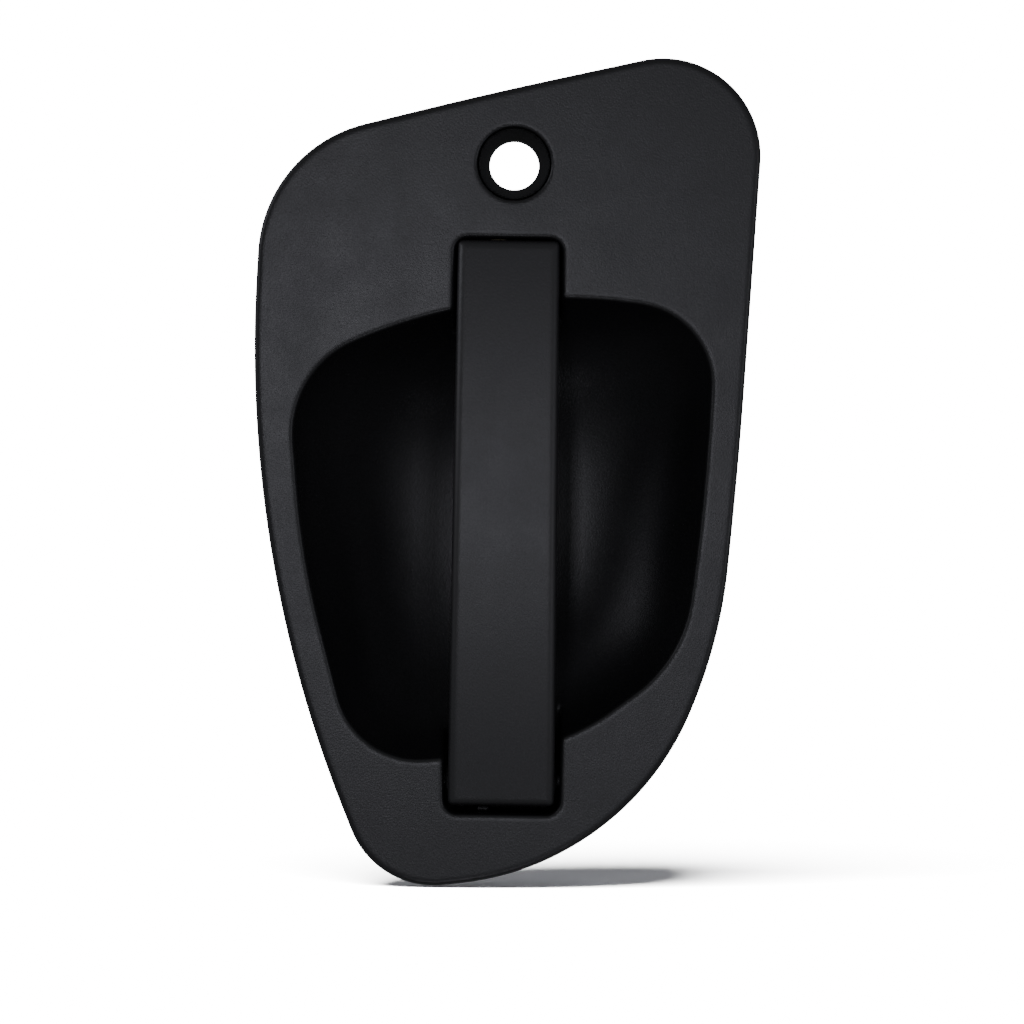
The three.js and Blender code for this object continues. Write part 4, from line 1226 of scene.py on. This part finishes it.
@dataclass
class HingeSet:
    """The grip's hinge pin with its clip and bushes, the return spring and the two bumpers."""

    pin_radius: float = 2.5
    bush_starts: tuple[float, float] = (-18.2, 18.6)
    spring: TorsionSpring = TorsionSpring(HINGE_AXIS, 4.6, 1.2, 1.7, 6, -5.2, (-4.8, 4.8), Body.GRIP)

    def build(self) -> None:
        """Makes the pieces."""
        self._pin()
        for name, side, start in zip(("left", "right"), (-1, 1), self.bush_starts):
            self._bush(name, side, start)
            self._bumper(name, side * BUMPER_X)
        self._spring()

    def _pin(self) -> None:
        """The headed pin and its clip."""
        radius = self.pin_radius
        section = (
            (-27.6, 0, 0.001),
            (-27.6, 4.5, 0.6),
            (-25.8, 4.5, 0.3),
            (-25.8, radius, 0.15),
            (25.7, radius, 0.1),
            (25.7, 1.8, 0.05),
            (26.9, 1.8, 0.05),
            (26.9, radius, 0.1),
            (28.2, radius, 0.5),
            (28.2, 0, 0.001),
        )
        pin = Turned(HINGE_AXIS, section)
        add_piece(pin, "grip_hinge_pin", SPRING_STEEL, Body.HOUSING, "hinge_pin")
        shape = retaining_clip(HINGE_AXIS, 25.9, 26.7, 2.0, 4.6)
        clip = Sculpture(shape, (25.5, -1.5, -95.5), (27.1, 9.5, -84.5), 0.2)
        add_piece(clip, "grip_hinge_clip", SPRING_STEEL, Body.HOUSING, "hinge_pin_clip")

    def _bush(self, name: str, side: int, start: float) -> None:
        """One flanged acetal bush."""
        flange = HINGE_BOSS_REACH + 0.3
        section = (
            (start, 2.8, 0.2),
            (start, 4.1, 0.3),
            (side * flange, 4.1, 0.2),
            (side * flange, 5.2, 0.3),
            (side * (flange + 1.2), 5.2, 0.4),
            (side * (flange + 1.2), 2.8, 0.2),
        )
        bush = Turned(HINGE_AXIS, section)
        add_piece(bush, f"grip_hinge_bush_{name}", ACETAL, Body.HOUSING, f"hinge_bush_{name}")

    def _bumper(self, name: str, x: float) -> None:
        """One push-in rubber bumper behind the grip's top."""
        section = (
            (8.3, 0, 0.001),
            (8.3, 3.8, 0.6),
            (9.7, 3.8, 0.3),
            (9.7, 1.9, 0.2),
            (12.5, 1.9, 0.2),
            (12.5, 2.9, 0.3),
            (14.8, 1.4, 0.4),
            (14.8, 0, 0.001),
        )
        bumper = Turned(Axis("y", x, BUMPER_Z), section)
        add_piece(bumper, f"rubber_bumper_{name}", RUBBER, Body.HOUSING, f"grip_bumper_{name}")

    def _spring(self) -> None:
        """The torsion spring, its first leg on the housing's toe and its last in the grip."""
        front, z = HINGE_AXIS.first - self.spring.radius, HINGE_AXIS.second
        first_leg = [(-5.4, front, z - 6.3), (-5.3, front, z - 3.5)]
        last_leg = [(5.1, front, z + 4), (5.2, front, z + 9.2)]
        self.spring.build("grip_torsion_spring", "grip_return_spring", first_leg, last_leg)


# ----------------------------------------------------------------------------------------------------------
# Works behind the bowl
# ----------------------------------------------------------------------------------------------------------


@dataclass
class CrankLinkage:
    """The pull arm, the bell crank on its bracket, its pins and spring, and the latch rod's clip."""

    lean: float = math.radians(23.3)
    input_reach: float = 26.0
    output_reach: float = 20.0
    plate: tuple[float, float] = (1.0, 4.0)
    arm: tuple[float, float] = (-4.5, -1.5)
    arm_height: float = 8.0
    arm_front: float = -3.6
    fork_slot: float = 3.6
    fork_rise: float = 0.6
    tine: float = 3.0
    tine_drop: float = 9.0
    limb_root: float = 7.0
    limb_tip: float = 4.5
    hub_radius: float = 5.4
    hub_reach: float = 7.5
    ear_eye: float = 6.6
    pivot_hole: float = 3.3
    pin_hole: float = 2.5
    cross_pin_hole: float = 2.3
    screw_hole: float = 2.3
    anchor_hole: float = 1.2
    foot: Outline = Outline(
        (
            (-10, 37.5, 1),
            (10, 37.5, 1),
            (26, 39.5, 4),
            (26, 50.5, 4),
            (13.5, 50.5, 3),
            (10, 44.5, 2),
            (-10, 44.5, 2),
            (-13.5, 50.5, 3),
            (-26, 50.5, 4),
            (-26, 39.5, 4),
        )
    )
    ear: Outline = Outline(
        (
            (20.6, 44, 0.8),
            (20.6, 38.2, 2),
            (25.8, 30.6, 3),
            (28.6, 28.9, 2),
            (34, 29.4, 0.5),
            (38, 36, 0.5),
            (37.3, 41.7, 0.5),
        )
    )
    ear_inner: float = 8.0
    sheet: float = 2.0
    bracket_front: float = 20.6
    jaw_span: tuple[float, float] = (4.3, 11.3)
    jaw_half_height: float = 6.0
    channel_radius: float = 1.85
    channel_offset: float = 0.8
    clip_stem: float = 2.2
    anchor_drop: float = 4.2
    hook: tuple[float, float] = (15.0, 6.6)
    spring: TorsionSpring = TorsionSpring(CRANK_AXIS, 6.9, 1.1, 1.45, 4, -6.6, (-6.4, -1.0), Body.CRANK)

    @property
    def drive(self) -> Axis:
        """The drive pin's line."""
        y = CRANK_AXIS.first + self.input_reach * math.sin(self.lean)
        return Axis("x", y, CRANK_AXIS.second + self.input_reach * math.cos(self.lean))

    @property
    def rod_pivot(self) -> Axis:
        """The rod clip's line."""
        y = CRANK_AXIS.first + self.output_reach * math.cos(self.lean)
        return Axis("x", y, CRANK_AXIS.second - self.output_reach * math.sin(self.lean))

    @property
    def anchor(self) -> Axis:
        """The line of the spring's hole in the left ear."""
        return Axis("x", CRANK_AXIS.first - self.spring.radius, CRANK_AXIS.second - self.anchor_drop)

    def crank(self, x: Array, y: Array, z: Array) -> Array:
        """Signed distance to the bell crank: two arms and a hub."""
        ends = (self.drive, self.rod_pivot)
        pivot = (CRANK_AXIS.first, CRANK_AXIS.second, self.limb_root)
        arms = [limb(y, z, pivot, (end.first, end.second, self.limb_tip)) for end in ends]
        flat = meet(join(*arms, 7.0), between(x, *self.plate), 0.35)
        body = join(flat, CRANK_AXIS.rod(x, y, z, self.hub_radius, -self.hub_reach, self.hub_reach, 0.4), 0.6)
        body = carve(body, CRANK_AXIS.rod(x, y, z, self.pivot_hole, -THROUGH, THROUGH), 0.3)
        for end in ends:
            body = carve(body, end.rod(x, y, z, self.pin_hole, -THROUGH, THROUGH), 0.25)
        return body

    def pull_arm(self, x: Array, y: Array, z: Array) -> Array:
        """Signed distance to the pull arm: a flat bar with a fork that straddles the drive pin."""
        pin_y, pin_z = self.drive.first, self.drive.second
        outer = self.fork_slot + self.tine
        low, high = pin_z - self.arm_height / 2, pin_z + self.arm_height / 2
        bar = box_distance(y, z, (self.arm_front, low), (pin_y, high), 0.4)
        eye_z = pin_z + self.fork_rise
        reach = np.hypot(y - pin_y, z - pin_z - self.fork_rise)
        tines = box_distance(y, z, (pin_y - outer, pin_z - self.tine_drop), (pin_y + outer, eye_z), 0.8)
        body = join(join(bar, reach - outer, 5.0), tines, 2.0)
        mouth = box_distance(y, z, (pin_y - self.fork_slot, pin_z - 20), (pin_y + self.fork_slot, eye_z))
        slot = np.minimum(reach - self.fork_slot, mouth)
        body = meet(carve(body, slot, 0.3), between(x, *self.arm), 0.35)
        cross = Axis("x", CROSS_PIN_Y, pin_z).rod(x, y, z, self.cross_pin_hole, -THROUGH, THROUGH)
        return carve(body, cross, 0.2)

    def bracket(self, x: Array, y: Array, z: Array) -> Array:
        """Signed distance to the bracket: a foot with two ears bent up from it."""
        layer = between(y, self.bracket_front, self.bracket_front + self.sheet)
        foot = meet(self.foot.distance(x, z), layer, 0.35)
        eye = np.hypot(y - CRANK_AXIS.first, z - CRANK_AXIS.second) - self.ear_eye
        ear = np.minimum(self.ear.distance(y, z), eye)
        ears = meet(ear, between(np.abs(x), self.ear_inner, self.ear_inner + self.sheet), 0.35)
        body = join(foot, ears, 1.4)
        for u in (-BRACKET_SCREW_X, BRACKET_SCREW_X):
            body = carve(body, Axis("y", u, BRACKET_SCREW_Z).rod(x, y, z, self.screw_hole, 0, 50), 0.3)
        body = carve(body, CRANK_AXIS.rod(x, y, z, self.pivot_hole, -THROUGH, THROUGH), 0.3)
        return carve(body, self.anchor.rod(x, y, z, self.anchor_hole, -THROUGH, 0), 0.2)

    def rod_clip(self, x: Array, y: Array, z: Array) -> Array:
        """Signed distance to the rod clip: a stem in the crank and a jaw open to the back."""
        pivot = self.rod_pivot
        left, right = self.jaw_span
        middle = (left + right) / 2
        jaw = box_distance(x, y - pivot.first, (left, -5), (right, 4), 0.9)
        jaw = meet(jaw, np.abs(z - pivot.second) - self.jaw_half_height, 0.9)
        body = join(jaw, pivot.rod(x, y, z, self.clip_stem, 0.5, 5, 0.5), 0.4)
        channel = np.hypot(x - middle, y - pivot.first - self.channel_offset) - self.channel_radius
        flare = 1.4 + 0.5 * smooth((y - pivot.first - 2.4) / 1.4)
        mouth = np.maximum(np.abs(x - middle) - flare, pivot.first + self.channel_offset - y)
        return carve(body, np.minimum(channel, mouth), 0.3)

    def bracket_screw(self, x: Array, y: Array, z: Array, at: float) -> Array:
        """Signed distance to a thread-forming screw with a washer face and a hexagon head."""
        axis = Axis("y", at, BRACKET_SCREW_Z)
        along, u, v = axis.split(x, y, z)
        seat = self.bracket_front + self.sheet + 0.3
        head = meet(hexagon(u, v, 2.9, 0.2), between(along, seat, seat + 3.4), 0.2)
        head = meet(head, np.hypot(u, v) - 3.3 + np.maximum(along - seat - 2.9, 0) * 1.5, 0.1)
        wave = np.abs(((along / 1.3 - np.arctan2(v, u) / math.tau) % 1) * 2 - 1)
        shank = meet(np.hypot(u, v) - 1.25 - 0.35 * wave, between(along, 14.8, seat + 0.5), 0.2) * 0.8
        return join(join(head, axis.rod(x, y, z, 4.3, seat, seat + 0.9, 0.25), 0.2), shank, 0.1)

    def build(self) -> None:
        """Makes every piece."""
        pull_arm = Sculpture(self.pull_arm, (-5, -4.5, 50), (-1, 51.5, 68), 0.4)
        add_piece(pull_arm, "flat_pull_arm", YELLOW_ZINC, Body.GRIP, "pull_arm")
        crank = Sculpture(self.crank, (-8, 26, 22), (8, 58, 66), 0.45)
        add_piece(crank, "sprung_bell_crank", YELLOW_ZINC, Body.CRANK, "bell_crank")
        bracket = Sculpture(self.bracket, (-27, 20, 28), (27, 41.5, 51.5), 0.45)
        add_piece(bracket, "bent_crank_bracket", YELLOW_ZINC, Body.HOUSING, "crank_bracket")
        pivot = self.rod_pivot
        low = (0, pivot.first - 6, pivot.second - 7)
        high = (12, pivot.first + 5, pivot.second + 7)
        clip = Sculpture(self.rod_clip, low, high, 0.35)
        add_piece(clip, "latch_rod_clip", ACETAL, Body.ROD_CLIP, "rod_clip")
        for name, at in (("left", -BRACKET_SCREW_X), ("right", BRACKET_SCREW_X)):
            screw = Sculpture(
                lambda x, y, z, u=at: self.bracket_screw(x, y, z, u),
                (at - 5, 14, BRACKET_SCREW_Z - 5),
                (at + 5, 27, BRACKET_SCREW_Z + 5),
                0.3,
            )
            add_piece(screw, f"bracket_hex_screw_{name}", BRIGHT_ZINC, Body.HOUSING, f"bracket_screw_{name}")
        self._pins()
        self._spring()

    def _pins(self) -> None:
        """The cross pin, the drive pin with its sleeve, and the pivot pin with its clip."""
        cross = ((-13, 1.1, 0.1), (-13, 2, 0.4), (8, 2, 0.4), (8, 1.1, 0.1))
        cross_pin = Turned(Axis("x", CROSS_PIN_Y, self.drive.second), cross)
        add_piece(cross_pin, "rolled_cross_pin", SPRING_STEEL, Body.GRIP, "pull_arm_cross_pin")
        drive = (
            (-6.8, 0, 0.001),
            (-6.8, 4.2, 0.4),
            (-5.5, 4.2, 0.2),
            (-5.5, 2.2, 0.1),
            (4.2, 2.2, 0.1),
            (4.2, 3.6, 0.3),
            (5.6, 2.6, 0.7),
            (5.6, 0, 0.001),
        )
        add_piece(Turned(self.drive, drive), "riveted_drive_pin", BRIGHT_ZINC, Body.CRANK, "crank_drive_pin")
        sleeve = ((-5.2, 2.5, 0.15), (-5.2, 3.2, 0.25), (0.7, 3.2, 0.25), (0.7, 2.5, 0.15))
        add_piece(Turned(self.drive, sleeve), "drive_pin_sleeve", ACETAL, Body.CRANK, "crank_drive_sleeve")
        pivot = (
            (-12.1, 0, 0.001),
            (-12.1, 5, 0.6),
            (-10.3, 5, 0.3),
            (-10.3, 3, 0.15),
            (10.5, 3, 0.1),
            (10.5, 2.16, 0.05),
            (11.7, 2.16, 0.05),
            (11.7, 3, 0.1),
            (13, 3, 0.6),
            (13, 0, 0.001),
        )
        add_piece(Turned(CRANK_AXIS, pivot), "crank_hinge_pin", BRIGHT_ZINC, Body.HOUSING, "crank_pivot_pin")
        shape = retaining_clip(CRANK_AXIS, 10.7, 11.5, 2.4, 5.2)
        clip = Sculpture(shape, (10.3, 28, 30), (11.9, 40, 42), 0.2)
        add_piece(clip, "crank_hinge_clip", SPRING_STEEL, Body.HOUSING, "crank_pivot_clip")

    def _spring(self) -> None:
        """The torsion spring, hooked in the left ear and over the crank's input arm."""
        y, z = self.anchor.first, self.anchor.second
        first_leg = [(-9.7, y, z), (-8.6, y, z), (-7.3, y, z + 0.2), (-6.8, y, z + 1.6)]
        up, across = self.hook
        y = CRANK_AXIS.first + up * math.sin(self.lean) - across * math.cos(self.lean)
        z = CRANK_AXIS.second + up * math.cos(self.lean) + across * math.sin(self.lean)
        last_leg = [(-0.6, y - 4.6, z - 9), (-0.4, y - 0.7, z - 1.6), (0.4, y, z), (4, y, z)]
        self.spring.build("crank_torsion_spring", "crank_return_spring", first_leg, last_leg)


@dataclass
class FlangeFixings:
    """The four studs behind the flange with their washers and flanged nuts."""

    stud_radius: float = 3.0
    stud_end: float = 18.0
    pitch: float = 1.0
    washer: tuple[float, float] = (2.2, 3.7)
    nut: tuple[float, float] = (4.0, 9.0)
    nut_half: float = 5.0
    nut_corner: float = 5.6
    nut_flange: float = 6.55
    flange_thickness: float = 1.2
    washer_radius: float = 7.0
    bore: float = 3.3

    def nut_shape(self, x: Array, y: Array, z: Array, axis: Axis) -> Array:
        """Signed distance to a flanged nut."""
        along, u, v = axis.split(x, y, z)
        reach = np.hypot(u, v)
        body = meet(hexagon(u, v, self.nut_half, 0.2), between(along, *self.nut), 0.3)
        body = meet(body, reach - self.nut_corner + np.maximum(along - self.nut[1] + 0.8, 0) * 1.3, 0.1)
        layer = between(along, self.nut[0], self.nut[0] + self.flange_thickness)
        flange = meet(reach - self.nut_flange, layer, 0.35)
        bore = reach - self.bore - np.maximum(along - self.nut[1] + 0.5, 0) * 0.8
        return carve(join(body, flange, 0.5), bore, 0.15)

    def build(self) -> None:
        """Makes the fixings at each place."""
        for name, (x, z) in STUD_PLACES.items():
            axis = Axis("y", x, z)
            rod = ThreadedRod(axis, self.stud_radius, -4.9, self.stud_end, self.pitch, 0.5)
            add_piece(rod, f"threaded_stud_{name}", BRIGHT_ZINC, Body.HOUSING, f"fixing_stud_{name}")
            (start, end), rim = self.washer, self.washer_radius
            section = ((start, self.bore, 0.15), (start, rim, 0.25), (end, rim, 0.35), (end, self.bore, 0.15))
            washer = Turned(axis, section)
            add_piece(washer, f"plain_washer_{name}", BRIGHT_ZINC, Body.HOUSING, f"stud_washer_{name}")
            nut = Sculpture(
                lambda a, b, c, line=axis: self.nut_shape(a, b, c, line),
                (x - 7.2, 3.5, z - 7.2),
                (x + 7.2, 9.5, z + 7.2),
                0.35,
            )
            add_piece(nut, f"flanged_nut_{name}", BRIGHT_ZINC, Body.HOUSING, f"stud_nut_{name}")


# ----------------------------------------------------------------------------------------------------------
# Studio
# ----------------------------------------------------------------------------------------------------------


def aim(thing: bpy.types.Object, place: Sequence[float], target: Sequence[float], roll: float = 0.0) -> None:
    """Puts a light or camera at a place, looking at a target and rolled by some degrees about that line."""
    way = Vector(target) - Vector(place)
    turn = way.to_track_quat("-Z", "Y").to_matrix().to_4x4()
    thing.matrix_world = Matrix.Translation(place) @ turn @ Matrix.Rotation(math.radians(roll), 4, "Z")


SOFTBOX_COLOUR = (0.9, 0.9, 1.0)


@dataclass(frozen=True)
class SoftBox:
    """A rectangular studio light aimed at a point."""

    name: str
    place: tuple[float, float, float]
    target: tuple[float, float, float]
    size: tuple[float, float]
    power: float

    def build(self) -> None:
        """Makes the light."""
        light = bpy.data.lights.new(self.name, "AREA")
        light.shape = "RECTANGLE"
        light.size, light.size_y = self.size
        light.energy = self.power
        light.color = SOFTBOX_COLOUR
        aim(put_in_scene(self.name, light), self.place, self.target)


@dataclass
class Studio:
    """Floor, lights and camera."""

    camera_distance: float = 1.7
    view_width: float = 0.299
    view_centre: tuple[float, float] = (2.03, -11.38)
    roll: float = 0.833
    sensor: float = 36.0
    white: float = 17.0
    fill: float = 0.22
    fill_colour: tuple[float, float, float, float] = (0.92, 0.94, 1.0, 1)
    floor_light: float = 86.0
    floor_light_place: tuple[float, float, float] = (-0.25, -0.8, 1.0)
    floor_light_spread: float = 35.0
    floor_radius: float = 30.0
    floor_drop: float = 0.0006
    floor_tones: tuple[float, float] = (0.88, 0.9)
    lights: tuple[SoftBox, ...] = (
        SoftBox("key_softbox", (-0.085, -0.72, 0.145), (0.0, 0.0, 0.11), (0.07, 0.1), 0.55),
        SoftBox("fill_softbox", (0.14, -0.74, 0.07), (0.0, 0.0, 0.1), (0.1, 0.2), 0.25),
        SoftBox("low_softbox", (0.05, -0.6, -0.42), (0.0, 0.0, 0.08), (0.3, 0.2), 1.0),
        SoftBox("right_softbox", (0.65, -0.5, 0.1), (0.0, 0.0, 0.1), (0.3, 0.3), 0.5),
        SoftBox("side_softbox", (-0.8, -0.2, 0.45), (0.0, 0.0, 0.1), (0.4, 0.4), 1.1),
    )

    def build(self) -> None:
        """Makes the studio."""
        self._floor()
        self._world()
        self._camera()
        for light in self.lights:
            light.build()

    def _floor(self) -> None:
        """A wide white floor just under the handle."""
        graph = ShaderGraph("studio_floor")
        soft = graph.noise(3.0)
        graph.dress(Base_Color=graph.blend(soft, *map(rgb, self.floor_tones)), Roughness=0.9)
        turns = np.linspace(0, math.tau, 96, endpoint=False)
        radius, height = self.floor_radius, CAD_BOX[0][2] - self.floor_drop
        ring = [(radius * math.cos(a), radius * math.sin(a), height) for a in turns]
        mesh = bpy.data.meshes.new("studio_floor")
        mesh.from_pydata(ring, [], [list(range(len(ring)))])
        mesh.materials.append(graph.material)
        floor = put_in_scene("studio_floor", mesh)
        floor.visible_diffuse = False
        floor.visible_glossy = False
        self._floor_light(floor)

    def _floor_light(self, floor: bpy.types.Object) -> None:
        """A broad overhead light that reaches the floor alone, so the handle leaves a soft shadow on it."""
        light = bpy.data.lights.new("floor_light", "SUN")
        light.energy = self.floor_light
        light.angle = math.radians(self.floor_light_spread)
        lamp = put_in_scene("floor_light", light)
        aim(lamp, self.floor_light_place, (0.0, 0.0, 0.0))
        lit = bpy.data.collections.new("lit_floor")
        lit.objects.link(floor)
        lamp.light_linking.receiver_collection = lit

    def _world(self) -> None:
        """A white surround for the camera and a dim one for the lighting."""
        world = bpy.data.worlds.new("studio")
        bpy.context.scene.world = world
        world.use_nodes = True
        tree = world.node_tree
        seen = tree.nodes.new("ShaderNodeBackground")
        seen.inputs["Strength"].default_value = self.white
        seen.inputs["Color"].default_value = (1, 1, 1, 1)
        fill = tree.nodes["Background"]
        fill.inputs["Color"].default_value = self.fill_colour
        fill.inputs["Strength"].default_value = self.fill
        ray = tree.nodes.new("ShaderNodeLightPath")
        mix = tree.nodes.new("ShaderNodeMixShader")
        tree.links.new(ray.outputs["Is Camera Ray"], mix.inputs[0])
        tree.links.new(fill.outputs[0], mix.inputs[1])
        tree.links.new(seen.outputs[0], mix.inputs[2])
        tree.links.new(mix.outputs[0], tree.nodes["World Output"].inputs["Surface"])

    def _camera(self) -> None:
        """A long-lens camera square on to the flange."""
        data = bpy.data.cameras.new("camera")
        data.sensor_width = self.sensor
        data.lens = data.sensor_width * self.camera_distance / self.view_width
        data.clip_end = 100.0
        camera = put_in_scene("camera", data)
        x, z = self.view_centre[0] * MM, (self.view_centre[1] + LIFT) * MM
        aim(camera, (x, -self.camera_distance, z), (x, 0.0, z), self.roll)
        bpy.context.scene.camera = camera


def main() -> None:
    """Builds the studio and every piece."""
    logging.basicConfig(level=logging.INFO, format="%(message)s")
    Studio().build()
    for assembly in (HousingMoulding(), GripBar(), HingeSet(), CrankLinkage(), FlangeFixings()):
        LOG.info("building %s", type(assembly).__name__)
        assembly.build()


if __name__ == "__main__":
    main()
